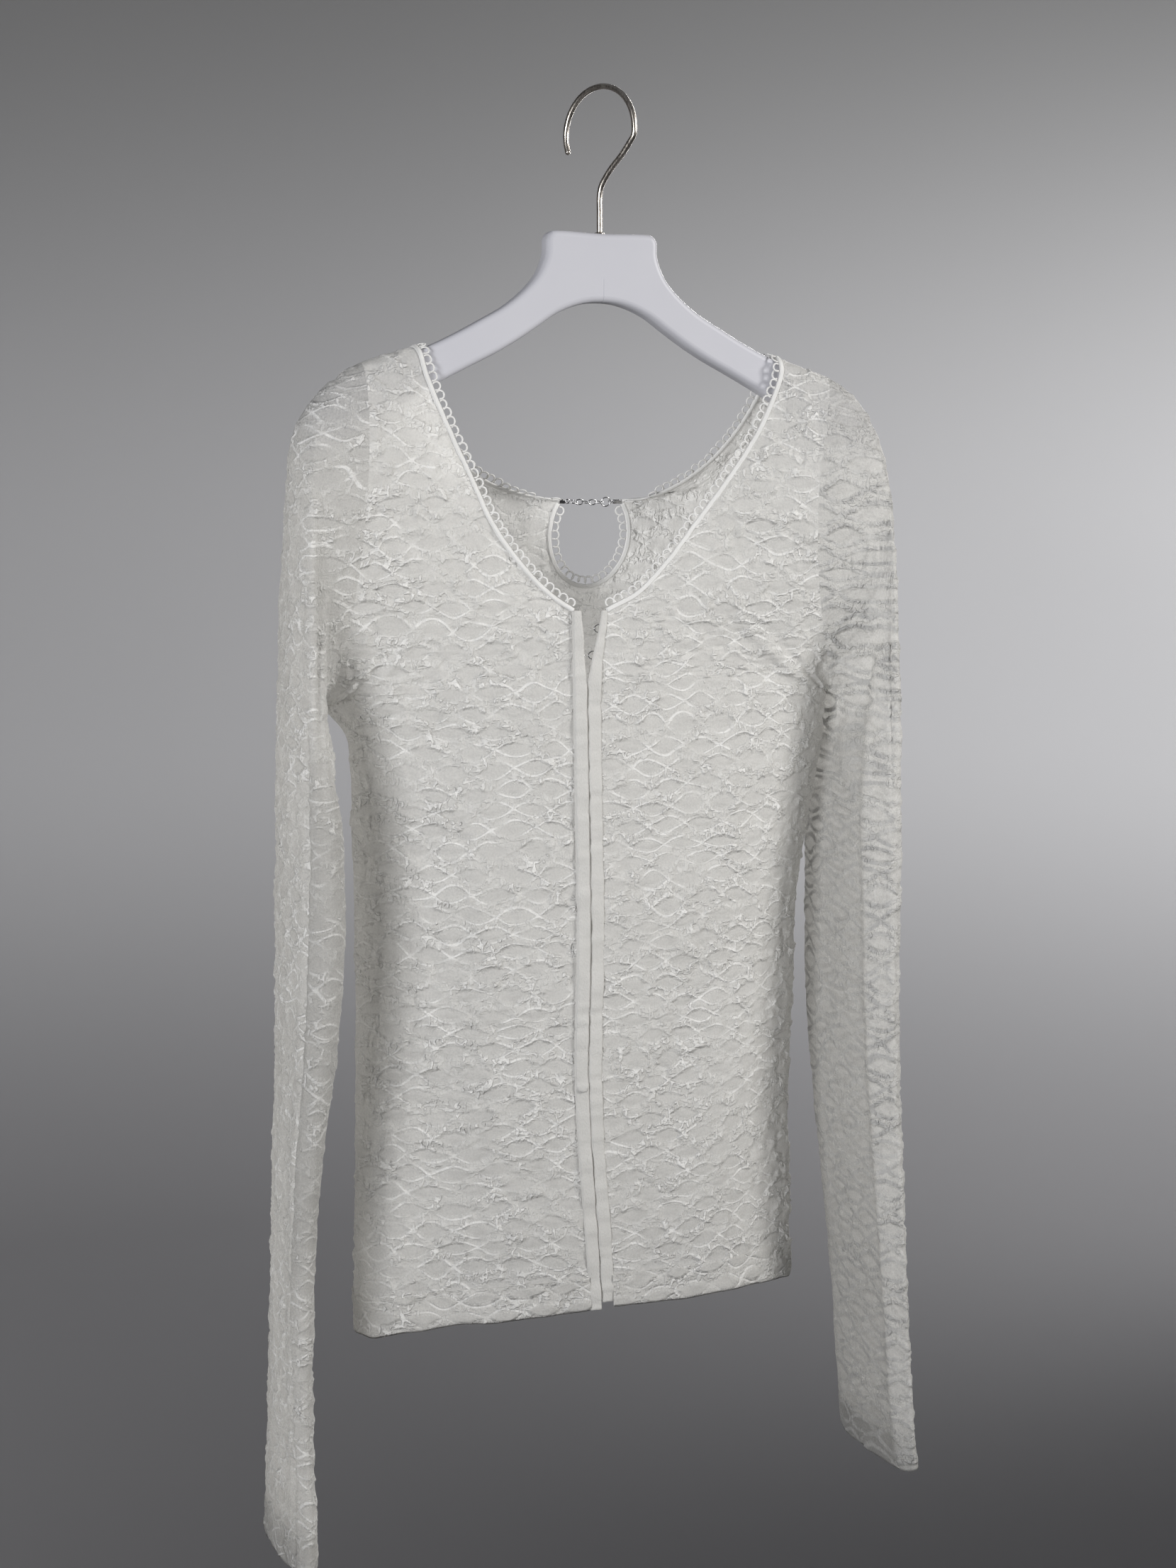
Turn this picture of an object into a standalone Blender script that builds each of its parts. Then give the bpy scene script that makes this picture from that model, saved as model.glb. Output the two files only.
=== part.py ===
"""Long-sleeved lace top, closed down the front with hooks and eyes, open in a
V at the front neck and in a keyhole at the back neck, hanging on a flat
wide-armed clothes hanger.

Metres, +Z up.  The origin is the inside top of the hanger's hook, where the
hook rests on whatever holds it.  The front of the top faces -Y, and the
wearer's right side is at -X.

Every cloth piece is a wall WALL thick: a grid of points worked out from the
sizes and tables below, moved out and in by half the wall and closed along its
edges.  Pieces that are sewn together stop SEAM short of each other.
"""
import math

import bmesh
import bpy
import numpy as np
from mathutils import Matrix, Vector

# ---------------------------------------------------------------- sizes
WALL = 0.0012            # cloth wall
SEAM = 0.00045           # each sewn edge stops this short of the seam line
NECK_X = 0.117           # neck point of the shoulder seam, from the middle
HEM_Z = -0.741
ARMPIT_Z = -0.365
TRIM_WIDTH = 0.0070      # reach of the looped edging past the panel's edge
V_THETA = 1.94           # row angle at which the V's bottom lies
V_Z = -0.3075
KEY_X, KEY_Z = 0.0033, -0.2620       # middle of the keyhole
KEY_HALF, KEY_DROP = 0.0335, 0.0325  # half width, depth under the middle
KEY_END = 2.243          # angle at which the keyhole meets the back neck
KEY_FOOT, KEY_HEAD = 2.12, 1.22      # row angles of the keyhole's ends

HANGER_HALF = 0.0066     # half thickness of the arms
HANGER_TIP_HALF = 0.0078
HANGER_ROUND = 0.0036
HOOK_WIRE = 0.0034
HOOK_TURN = math.radians(62)         # hook's plane, turned from the hanger's
HOOK_RADIUS = 0.0265                 # of the wire's middle line
HOOK_BORE = 0.0042

LABEL_SIZE = (0.0220, 0.0480)
LABEL_Z = -0.6250
LABEL_WAY = (.75, -.66)

CHAIN_WIRE = 0.0007
RING_IN, LINK_IN, EAR_IN = 0.0026, 0.0023, 0.0010    # inner half lengths
LINK_IN_WIDTH = 0.0013
CHAIN_GAP = 0.0003
CHAIN_Y, CHAIN_Z = 0.0300, -0.2420

# rows of the armholes: angle from the shoulder seam (0) to the armpit (pi)
THETAS = (0, .13, .25, .38, .52, .68, .86, 1.04, 1.22, 1.40, 1.58, 1.76,
          1.94, 2.12, 2.32, 2.54, 2.80, math.pi)
# rows of the body under the armholes, as parts of its height from the hem
BODY_ROWS = (0, .045, .12, .22, .33, .44, .55, .66, .76, .85, .92, .97)

# ---------------------------------------------------------------- tables
# body under the armpits
# z       x right  x left  y front  y side  y back
BODY = (
    (-.741, -.1500, .1475, -.0150, .0300, .0700),
    (-.700, -.1495, .1470, -.0150, .0310, .0730),
    (-.640, -.1480, .1455, -.0155, .0320, .0760),
    (-.560, -.1468, .1475, -.0160, .0320, .0770),
    (-.490, -.1470, .1510, -.0160, .0320, .0740),
    (-.440, -.1478, .1590, -.0150, .0315, .0700),
    (-.400, -.1490, .1655, -.0140, .0310, .0650),
    (-.380, -.1525, .1675, -.0130, .0305, .0620),
    (-.365, -.1655, .1700, -.0125, .0300, .0590))
# middle edges of the two front panels, and the slit between their bands
# z        right panel  slit    left panel
FRONT_EDGE = (
    (-.741, -.0125, -.0040, .0040),
    (-.690, -.0165, -.0070, .0010),
    (-.640, -.0200, -.0092, -.0012),
    (-.600, -.0222, -.0104, -.0024),
    (-.510, -.0210, -.0090, -.0010),
    (-.414, -.0218, -.0098, -.0018),
    (-.350, -.0218, -.0098, -.0018))
# bands over the slit's open top:  z, outer right, inner right, inner left, outer left
BAND_TOP = (
    (-.3505, -.0218, -.0101, -.0095, -.0018),
    (-.3380, -.0243, -.0126, -.0067, .0010),
    (-.3250, -.0292, -.0173, -.0022, .0056),
    (-.3160, -.0325, -.0205, .0008, .0088),
    (-.3075, -.0347, -.0226, .0026, .0106))
# front neck edge of the panels, from the neck point to the V's bottom: x, z
NECK_RIGHT = ((-.1170, -.1530), (-.1165, -.1660), (-.1125, -.1800),
              (-.1043, -.2004), (-.0921, -.2279), (-.0774, -.2568),
              (-.0597, -.2823), (-.0415, -.3018), (-.0347, -.3075))
NECK_LEFT = ((.1170, -.1530), (.1165, -.1640), (.1130, -.1800),
             (.1068, -.1977), (.0908, -.2271), (.0743, -.2519),
             (.0504, -.2787), (.0286, -.2986), (.0106, -.3075))
# back neck edge, from the neck point to the keyhole's corner: x, z
BACK_NECK_RIGHT = ((-.1170, -.1530), (-.1140, -.1690), (-.1055, -.1880),
                   (-.0890, -.2110), (-.0655, -.2295), (-.0430, -.2385),
                   (-.0229, -.2417))
BACK_NECK_LEFT = ((.1170, -.1530), (.1155, -.1680), (.1090, -.1830),
                  (.0950, -.2050), (.0690, -.2285), (.0500, -.2385),
                  (.0295, -.2417))
# how far along the neck edge each row angle lies: angle, front, back
NECK_SHARE = ((0, 0, 0), (.13, .006, .008), (.25, .018, .024), (.38, .040, .055),
              (.52, .080, .115), (.68, .140, .220), (.86, .220, .400),
              (1.04, .320, .680), (1.22, .430, 1.0), (1.40, .555, 1.0),
              (1.58, .690, 1.0), (1.76, .840, 1.0), (1.94, 1.0, 1.0))
# depth of the neck edges and middle lines, once clear of the hanger
# z       front    back
DEPTH = (
    (-.365, -.0125, .0590), (-.330, -.0115, .0490), (-.300, -.0108, .0400),
    (-.262, -.0104, .0318), (-.242, -.0104, .0298), (-.210, -.0104, .0215),
    (-.180, -.0106, .0140), (-.165, -.0107, .0114), (-.150, -.0106, .0106))

# sleeves: outer and inner point of each section, its middle's depth at both,
# its reach forward and back, its bow towards the body, and its twist
#  outer x   outer z  inner x  inner z  y out   y in   front  back   bow    twist
SLEEVE_RIGHT = (
    (.1490, -.1632, .1655, -.3650, .0000, .0300, .0320, .0300, .0045, 0),
    (.1600, -.1684, .1682, -.3656, .0000, .0295, .0325, .0305, .0030, 0),
    (.1715, -.1777, .1700, -.3672, .0000, .0285, .0330, .0310, .0015, 0),
    (.1808, -.1890, .1705, -.3700, .0000, .0275, .0340, .0300, .0000, 0),
    (.1872, -.2030, .1700, -.3740, .0000, .0260, .0350, .0320, .0000, 0),
    (.1905, -.2250, .1690, -.3800, .0005, .0240, .0365, .0350, .0000, 0),
    (.1925, -.2580, .1680, -.3890, .0010, .0220, .0385, .0385, .0000, 0),
    (.1945, -.3050, .1672, -.4020, .0020, .0200, .0410, .0420, .0000, 0),
    (.1960, -.3600, .1665, -.4220, .0030, .0180, .0440, .0455, .0000, 0),
    (.1975, -.4200, .1660, -.4550, .0040, .0150, .0470, .0485, .0000, 0),
    (.1992, -.4900, .1672, -.5050, .0050, .0100, .0485, .0490, .0000, -.02),
    (.2010, -.5600, .1745, -.5660, .0050, .0070, .0485, .0485, .0000, -.05),
    (.2035, -.6300, .1855, -.6325, .0050, .0050, .0480, .0480, .0000, -.08),
    (.2055, -.7000, .1915, -.7010, .0050, .0050, .0475, .0475, .0000, -.08),
    (.2070, -.7700, .1925, -.7700, .0050, .0050, .0465, .0465, .0000, -.05),
    (.2090, -.8440, .1910, -.8440, .0050, .0050, .0455, .0455, .0000, 0),
    (.2115, -.8680, .1895, -.8680, .0050, .0050, .0450, .0450, .0000, 0))
SLEEVE_LEFT = (
    (.1520, -.1642, .1700, -.3650, .0000, .0300, .0320, .0300, .0215, 0),
    (.1620, -.1694, .1738, -.3651, .0000, .0295, .0325, .0305, .0150, 0),
    (.1725, -.1782, .1763, -.3662, .0000, .0285, .0330, .0310, .0090, 0),
    (.1812, -.1895, .1772, -.3688, .0000, .0275, .0340, .0300, .0040, 0),
    (.1875, -.2035, .1771, -.3732, .0000, .0260, .0350, .0320, .0010, 0),
    (.1908, -.2250, .1762, -.3798, .0005, .0240, .0365, .0350, .0000, 0),
    (.1930, -.2580, .1750, -.3890, .0010, .0220, .0385, .0385, .0000, 0),
    (.1948, -.3050, .1738, -.4020, .0020, .0200, .0410, .0420, .0000, 0),
    (.1955, -.3600, .1735, -.4220, .0030, .0180, .0440, .0455, .0000, 0),
    (.1955, -.4200, .1735, -.4550, .0040, .0150, .0470, .0495, .0000, 0),
    (.1955, -.4900, .1735, -.5050, .0050, .0120, .0490, .0510, .0000, 0),
    (.1960, -.5600, .1735, -.5660, .0050, .0100, .0500, .0520, .0000, 0),
    (.1985, -.6300, .1780, -.6325, .0050, .0080, .0500, .0520, .0000, 0),
    (.2020, -.7000, .1830, -.7010, .0050, .0070, .0495, .0510, .0000, 0),
    (.2060, -.7700, .1870, -.7700, .0050, .0060, .0490, .0500, .0000, 0),
    (.2125, -.8440, .1915, -.8440, .0050, .0050, .0490, .0500, .0000, 0),
    (.2160, -.8680, .1930, -.8680, .0050, .0050, .0490, .0500, .0000, 0))

# largest folds of the panels: side, s, v, half widths in s and v, height
FOLDS = (
    ("front_right", .78, .00, .24, .22, .0130),
    ("front_right", .46, .16, .16, .30, -.0035),
    ("front_right", .60, 1.05, .10, .16, .0030),
    ("front_left", .30, .10, .16, .35, .0035),
    ("front_left", .66, .25, .14, .30, -.0030),
    ("front_left", .72, 1.10, .10, .14, .0035),
    ("back_right", .55, .25, .16, .35, .0060),
    ("back_right", .85, .60, .12, .25, -.0030),
    ("back_left", .45, .30, .16, .35, .0050),
    ("back_left", .80, .55, .12, .25, -.0035))

# hanger's half outline, from the top's middle round the tip to the arch: x, z
HANGER_TOP = ((.0325, -.0841), (.0345, -.0860), (.0358, -.0970),
              (.0413, -.1096), (.0495, -.1187), (.0615, -.1282),
              (.0770, -.1370), (.0935, -.1458), (.1120, -.1543),
              (.1300, -.1604), (.1450, -.1660), (.1580, -.1722),
              (.1690, -.1800), (.1770, -.1888), (.1815, -.1980))
HANGER_TIP = ((.1828, -.2060), (.1815, -.2118), (.1765, -.2142))
HANGER_UNDER = ((.1680, -.2120), (.1580, -.2060), (.1420, -.1962),
                (.1220, -.1850), (.1036, -.1745), (.0826, -.1637),
                (.0668, -.1558), (.0541, -.1485), (.0413, -.1402),
                (.0290, -.1320), (.0195, -.1278), (.0100, -.1252))
HANGER_ARCH_Z = -.1244
# hook's stem and lead-in, in its own plane: reach, z
HOOK_STEM = ((0, -.1000), (0, -.0840), (0, -.0700), (0, -.0620),
             (.0012, -.0565), (.0050, -.0510), (.0105, -.0452),
             (.0165, -.0400), (.0222, -.0338))

# colours: base colour, roughness, metallic
FINISH = {
    "lace": ((.82, .81, .78), .75, 0),
    "band": ((.84, .83, .80), .70, 0),
    "trim": ((.86, .86, .84), .60, 0),
    "label": ((.86, .86, .86), .60, 0),
    "hanger": ((.72, .73, .78), .35, 0),
    "hook": ((.55, .52, .48), .32, 1),
    "chain": ((.55, .55, .56), .25, 1),
}


# ---------------------------------------------------------------- helpers
def smooth(rows, key):
    """Cubic through a table's rows, whose first column is the key."""
    tab = np.array(rows, float)
    if tab[0, 0] > tab[-1, 0]:
        tab = tab[::-1]
    x, y = tab[:, 0], tab[:, 1:]
    h = np.diff(x)[:, None]
    d = np.diff(y, axis=0) / h
    m = np.vstack([d[:1], (d[:-1] * h[1:] + d[1:] * h[:-1]) / (h[1:] + h[:-1]), d[-1:]])
    k = np.clip(np.atleast_1d(key).astype(float), x[0], x[-1])
    i = np.clip(np.searchsorted(x, k) - 1, 0, len(x) - 2)
    t = ((k - x[i]) / (x[i + 1] - x[i]))[:, None]
    hh = (x[i + 1] - x[i])[:, None]
    return ((2 * t**3 - 3 * t**2 + 1) * y[i] + (t**3 - 2 * t**2 + t) * hh * m[i]
            + (3 * t**2 - 2 * t**3) * y[i + 1] + (t**3 - t**2) * hh * m[i + 1])


def along(points, share):
    """Point at a share of the length of a curve through points."""
    pts = np.array(points, float)
    run = np.concatenate([[0], np.cumsum(np.linalg.norm(np.diff(pts, axis=0), axis=1))])
    return smooth(np.column_stack([run / run[-1], pts]), share)


def unit(v):
    return v / np.maximum(np.linalg.norm(v, axis=-1, keepdims=True), 1e-12)


def hanger_top(x):
    """Height of the hanger's top edge at a distance from its middle."""
    return smooth(HANGER_TOP[2:], np.abs(x))[:, 0]


def over_arm(drop):
    """0 on the shoulder seam, 1 once the cloth hangs down the arm's face."""
    q = np.clip(np.asarray(drop) / 0.009, 0, 1)
    return np.sqrt(np.maximum(0, 1 - (1 - q)**2))


# ---------------------------------------------------------------- sleeves
def ring(side, k, theta, back):
    """Points of a sleeve's section k (may lie between rows) at angles theta,
    from its outer point (0) to its inner point (pi), round the front or back."""
    rows = SLEEVE_RIGHT if side < 0 else SLEEVE_LEFT
    r = smooth([(i,) + row for i, row in enumerate(rows)], k)
    ox, oz, ix, iz, yo, yi, df, db, bow, twist = r.T
    th = np.asarray(theta, float)
    c, s = (1 - np.cos(th)) / 2, np.sin(th)
    reach = np.where(np.asarray(back), db * s, -df * s)
    x = ox + (ix - ox) * c - bow * s**2 + twist * reach
    y = yo + (yi - yo) * c + reach
    z = oz + (iz - oz) * c
    return np.column_stack([side * x, y, z])


# ---------------------------------------------------------------- panels
def outer_edge(side, v, back):
    """Side seam for v below 1, armhole from 1 (armpit) to 2 (shoulder)."""
    z = HEM_Z + (ARMPIT_Z - HEM_Z) * min(v, 1)
    if v <= 1:
        row = smooth(BODY, z)[0]
        return np.array([row[0] if side < 0 else row[1], row[3], z])
    return ring(side, 0, [math.pi * (2 - v)], back)[0]


def middle_z(v):
    """Height of the front edges and of the back's middle line, v up to 1."""
    z = HEM_Z + (ARMPIT_Z - HEM_Z) * v
    return z + 0.019 * max(0, (v - .5) / .5)**3


def front_inner(side, v):
    theta = math.pi * (2 - v)
    if v > 1 and theta < V_THETA:
        share = smooth([(a, f) for a, f, b in NECK_SHARE], theta)[0, 0]
        x, z = along(NECK_RIGHT if side < 0 else NECK_LEFT, share)[0]
        top = NECK_RIGHT[0][1]
    else:
        z = (middle_z(v) if v <= 1 else
             V_Z - (.0385 * (theta - V_THETA) / (math.pi - V_THETA)))
        top = NECK_RIGHT[0][1]
        if z < -.3505:
            x = smooth(FRONT_EDGE, z)[0, 0 if side < 0 else 2]
        else:
            x = smooth(BAND_TOP, z)[0, 0 if side < 0 else 3]
    y = smooth(DEPTH, z)[0, 0] if z > ARMPIT_Z else smooth(BODY, z)[0, 2]
    return np.array([x, y * over_arm(top - z), z])


def back_inner(side, v):
    theta = math.pi * (2 - v)
    if v > 1 and theta < KEY_HEAD:
        share = smooth([(a, b) for a, f, b in NECK_SHARE], theta)[0, 0]
        x, z = along(BACK_NECK_RIGHT if side < 0 else BACK_NECK_LEFT, share)[0]
    elif v > 1 and theta < KEY_FOOT:
        a = KEY_END * (KEY_FOOT - theta) / (KEY_FOOT - KEY_HEAD)
        x = KEY_X + side * KEY_HALF * math.sin(a)
        z = KEY_Z - KEY_DROP * math.cos(a)
    else:
        x = KEY_X if v > 1 else KEY_X * v
        z = (middle_z(v) if v <= 1 else
             KEY_Z - KEY_DROP - .0515 * (theta - KEY_FOOT) / (math.pi - KEY_FOOT))
    y = smooth(DEPTH, z)[0, 1] if z > ARMPIT_Z else smooth(BODY, z)[0, 4]
    return np.array([x, y * over_arm(NECK_RIGHT[0][1] - z), z])


def roundness(v):
    """1 where a row is a quarter of an ellipse, 0 where it is straight."""
    return 1.0 if v <= 1 else max(0., 1 - (v - 1) / .62)**1.3


def panel_point(piece, side, s, v):
    """Middle surface of a panel; s runs from the middle (0) to the side (1),
    v from the hem (0) past the armpit (1) to the shoulder seam (2)."""
    back = piece == "back"
    a = back_inner(side, v) if back else front_inner(side, v)
    b = outer_edge(side, v, back)
    r = roundness(v)
    fx = (1 - r) * s + r * math.sin(math.pi * s / 2)
    fy = (1 - r) * s + r * (1 - math.cos(math.pi * s / 2))
    p = np.array([a[0] + (b[0] - a[0]) * fx, a[1] + (b[1] - a[1]) * fy,
                  a[2] + (b[2] - a[2]) * s])
    name = piece + ("_right" if side < 0 else "_left")
    for who, s0, v0, ws, wv, high in FOLDS:
        if who == name:
            g = math.exp(-((s - s0) / ws)**2 - ((v - v0) / wv)**2)
            p[1] += (high if back else -high) * g * min(1, s / .12) * min(1, (1 - s) / .15)
    return p


def rows_of(step=1):
    low = list(BODY_ROWS)
    top = [2 - t / math.pi for t in reversed(THETAS)]
    return low + top


def near_armpit(v):
    """1 at the armpit, where the seams meet and stand further apart."""
    return math.exp(-((v - 1) / .05)**2)


def panel_grid(piece, side, columns):
    """Rows of points of a half panel, its sewn edges pulled back by SEAM."""
    grid = []
    for v in rows_of():
        row = [panel_point(piece, side, s, v) for s in columns]
        row[-1] = row[-1] + unit(row[-2] - row[-1]) * SEAM * (1 + 1.6 * near_armpit(v))
        if v == 2:
            row = [p + np.array([0, SEAM if piece == "back" else -SEAM, 0]) for p in row]
        grid.append(row)
    return np.array(grid)


# ---------------------------------------------------------------- solids
def material(kind):
    mat = bpy.data.materials.get(kind)
    if mat is None:
        mat = bpy.data.materials.new(kind)
        mat.use_nodes = True
        colour, rough, metal = FINISH[kind]
        shader = mat.node_tree.nodes["Principled BSDF"]
        shader.inputs["Base Color"].default_value = colour + (1,)
        shader.inputs["Roughness"].default_value = rough
        shader.inputs["Metallic"].default_value = metal
    return mat


def add(name, mesh, kind, flat=40):
    obj = bpy.data.objects.new(name, mesh)
    bpy.context.scene.collection.objects.link(obj)
    mesh.materials.append(material(kind))
    mesh.shade_smooth()
    mesh.set_sharp_from_angle(angle=math.radians(flat))
    return obj


def wall(name, verts, quads, kind, thick=WALL):
    """Closed solid made from a surface's points by moving them out and in."""
    verts = np.array(verts, float)
    normal = np.zeros_like(verts)
    for q in quads:
        a, b, c, d = verts[list(q)]
        n = np.cross(c - a, d - b)
        for i in q:
            normal[i] += n
    normal = unit(normal)
    count = len(verts)
    pts = np.vstack([verts + normal * thick / 2, verts - normal * thick / 2])
    faces = [tuple(q) for q in quads] + [tuple(i + count for i in reversed(q)) for q in quads]
    edges = {}
    for q in quads:
        for a, b in zip(q, q[1:] + q[:1]):
            edges[(a, b)] = edges.get((a, b), 0) + 1
    for a, b in edges:
        if (b, a) not in edges:
            faces.append((b, a, a + count, b + count))
    mesh = bpy.data.meshes.new(name)
    mesh.from_pydata(pts.tolist(), [], faces)
    mesh.validate()
    return add(name, mesh, kind, 60)


def grid_quads(rows, cols, first=0, flip=False, close=False):
    quads = []
    for r in range(rows - 1):
        for c in range(cols if close else cols - 1):
            d = (c + 1) % cols
            q = (first + r * cols + c, first + r * cols + d,
                 first + (r + 1) * cols + d, first + (r + 1) * cols + c)
            quads.append(tuple(reversed(q)) if flip else q)
    return quads


def tube(name, points, wire, kind, closed=False, sides=2):
    """Round wire along points, as a curve turned into a mesh."""
    curve = bpy.data.curves.new(name + "_line", "CURVE")
    curve.dimensions = "3D"
    curve.bevel_depth = wire / 2
    curve.bevel_resolution = sides
    curve.use_fill_caps = not closed
    line = curve.splines.new("POLY")
    line.points.add(len(points) - 1)
    for p, q in zip(line.points, points):
        p.co = (q[0], q[1], q[2], 1)
    line.use_cyclic_u = closed
    temp = bpy.data.objects.new(name + "_line", curve)
    bpy.context.scene.collection.objects.link(temp)
    graph = bpy.context.evaluated_depsgraph_get()
    mesh = bpy.data.meshes.new_from_object(temp.evaluated_get(graph))
    bpy.data.objects.remove(temp)
    bm = bmesh.new()
    bm.from_mesh(mesh)
    bmesh.ops.remove_doubles(bm, verts=bm.verts, dist=1e-6)
    bmesh.ops.recalc_face_normals(bm, faces=bm.faces)
    bm.to_mesh(mesh)
    bm.free()
    return mesh


# ---------------------------------------------------------------- top
def build_front(name, side):
    columns = [i / 8 for i in range(9)]
    grid = panel_grid("front", side, columns)
    rows, cols = grid.shape[:2]
    wall(name, grid.reshape(-1, 3), grid_quads(rows, cols, flip=side < 0), "lace")
    return grid


def build_back():
    columns = [i / 8 for i in range(9)]
    halves = {side: panel_grid("back", side, columns) for side in (-1, 1)}
    verts, quads = [], []
    vs = rows_of()
    shared = [v for v in vs if v <= 2 - KEY_FOOT / math.pi + 1e-9]
    index = {}
    for side in (-1, 1):
        grid = halves[side]
        rows, cols = grid.shape[:2]
        ids = np.zeros((rows, cols), int)
        for r in range(rows):
            for c in range(cols):
                key = (r, c if not (c == 0 and r < len(shared)) else "middle",
                       side if not (c == 0 and r < len(shared)) else 0)
                if key not in index:
                    index[key] = len(verts)
                    verts.append(grid[r, c])
                ids[r, c] = index[key]
        for r in range(rows - 1):
            for c in range(cols - 1):
                q = (int(ids[r, c]), int(ids[r, c + 1]), int(ids[r + 1, c + 1]), int(ids[r + 1, c]))
                quads.append(q if side < 0 else tuple(reversed(q)))
    wall("back", verts, quads, "lace")
    return halves, len(shared)


def build_sleeve(name, side):
    front = [(t, False) for t in THETAS]
    rear = [(t, True) for t in reversed(THETAS[1:-1])]
    loop = front + rear
    th = [t for t, b in loop]
    bk = [b for t, b in loop]
    count = len(SLEEVE_RIGHT)
    rings = [ring(side, k, th, bk) for k in range(count)]
    step = rings[1] - rings[0]
    apart = [SEAM * (1 + 1.6 * near_armpit(2 - t / math.pi)) for t in th]
    rings[0] = rings[0] + unit(step) * np.array(apart)[:, None]
    verts = np.vstack(rings)
    wall(name, verts, grid_quads(count, len(loop), flip=side > 0, close=True), "lace")


def edging(name, path, inward, normal_hint):
    """Flat band of the edging's reach along an edge's points."""
    path, inward = np.array(path), np.array(inward)
    tangent = unit(np.gradient(path, axis=0))
    normal = unit(np.cross(tangent, inward))
    across = unit(np.cross(normal, tangent))
    across = across * np.sign(np.sum(across * inward, axis=1, keepdims=True))
    grid = np.stack([path + across * 0.0006, path + across * TRIM_WIDTH * .55,
                     path + across * TRIM_WIDTH], axis=1)
    rows = len(path)
    quads = grid_quads(rows, 3)
    wall(name, grid.reshape(-1, 3), quads, "trim")
    return grid


def edge_and_inward(grid, first, last):
    """Edge points of a half panel's rows and the direction into the opening."""
    edge = grid[first:last, 0]
    inward = grid[first:last, 0] - grid[first:last, 1]
    return list(edge), list(unit(inward))


def build_trims(front, back, shared):
    n_low = len(BODY_ROWS)
    total = n_low + len(THETAS)
    v_row = n_low + (len(THETAS) - 1 - THETAS.index(V_THETA))
    head = n_low + (len(THETAS) - 1 - THETAS.index(KEY_HEAD))
    for name, side in (("neck_trim_right", -1), ("neck_trim_left", 1)):
        a, ia = edge_and_inward(front[side], v_row, total - 1)
        b, ib = edge_and_inward(back[side], head, total - 1)
        top = (front[side][total - 1, 0] + back[side][total - 1, 0]) / 2
        top_in = unit(front[side][total - 1, 0] - front[side][total - 1, 1])
        edging(name, a + [top] + b[::-1], ia + [top_in] + ib[::-1], None)
    edge_r, in_r = edge_and_inward(back[-1], shared - 1, head + 1)
    edge_l, in_l = edge_and_inward(back[1], shared - 1, head + 1)
    middle = np.array([KEY_X, edge_r[0][1], KEY_Z])
    path = edge_r[::-1] + edge_l[1:]
    inward = [middle - p for p in path]
    # the keyhole's edging starts just past the neck edging's end
    path = np.array(path)
    for end, nxt in ((0, 1), (-1, -2)):
        path[end] = path[end] + (path[nxt] - path[end]) * .30
    inward = [middle + np.array([0, 0, -.004]) - p for p in path]
    edging("keyhole_trim", path, inward, None)


def build_placket(name, side):
    """Band along a front edge, from the hem to the V's bottom."""
    vs = [v for v in rows_of() if v <= 2 - V_THETA / math.pi + 1e-9]
    rows = []
    for v in vs:
        a = front_inner(side, v)
        b = panel_point("front", side, .125, v)
        z = a[2]
        if z < -.3505:
            edge = smooth(FRONT_EDGE, z)[0]
            inner = edge[1] + side * .0003
        else:
            inner = smooth(BAND_TOP, z)[0, 1 if side < 0 else 2]
        slope = (b[1] - a[1]) / (b[0] - a[0])
        outer = a[0] - side * .0006
        y = a[1] + slope * (outer - a[0])
        rows.append([np.array([outer, y, z]),
                     np.array([(outer + inner) / 2, y + slope * (inner - outer) / 2, z]),
                     np.array([inner, y + slope * (inner - outer), z])])
    grid = np.array(rows)
    if side > 0:
        # left front's hem ends a little higher at the slit
        grid[0, :, 2] += .004
    wall(name, grid.reshape(-1, 3), grid_quads(len(vs), 3, flip=side > 0), "band")
    return grid


# ---------------------------------------------------------------- small parts
def oval(centre, half_x, half_z, tilt, count=12):
    """Loop of points in a plane that holds X, tilted about X."""
    pts = []
    for i in range(count):
        a = 2 * math.pi * i / count
        p = Vector((half_x * math.cos(a), 0, half_z * math.sin(a)))
        p = Matrix.Rotation(tilt, 3, "X") @ p
        pts.append(Vector(centre) + p)
    return pts


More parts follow.
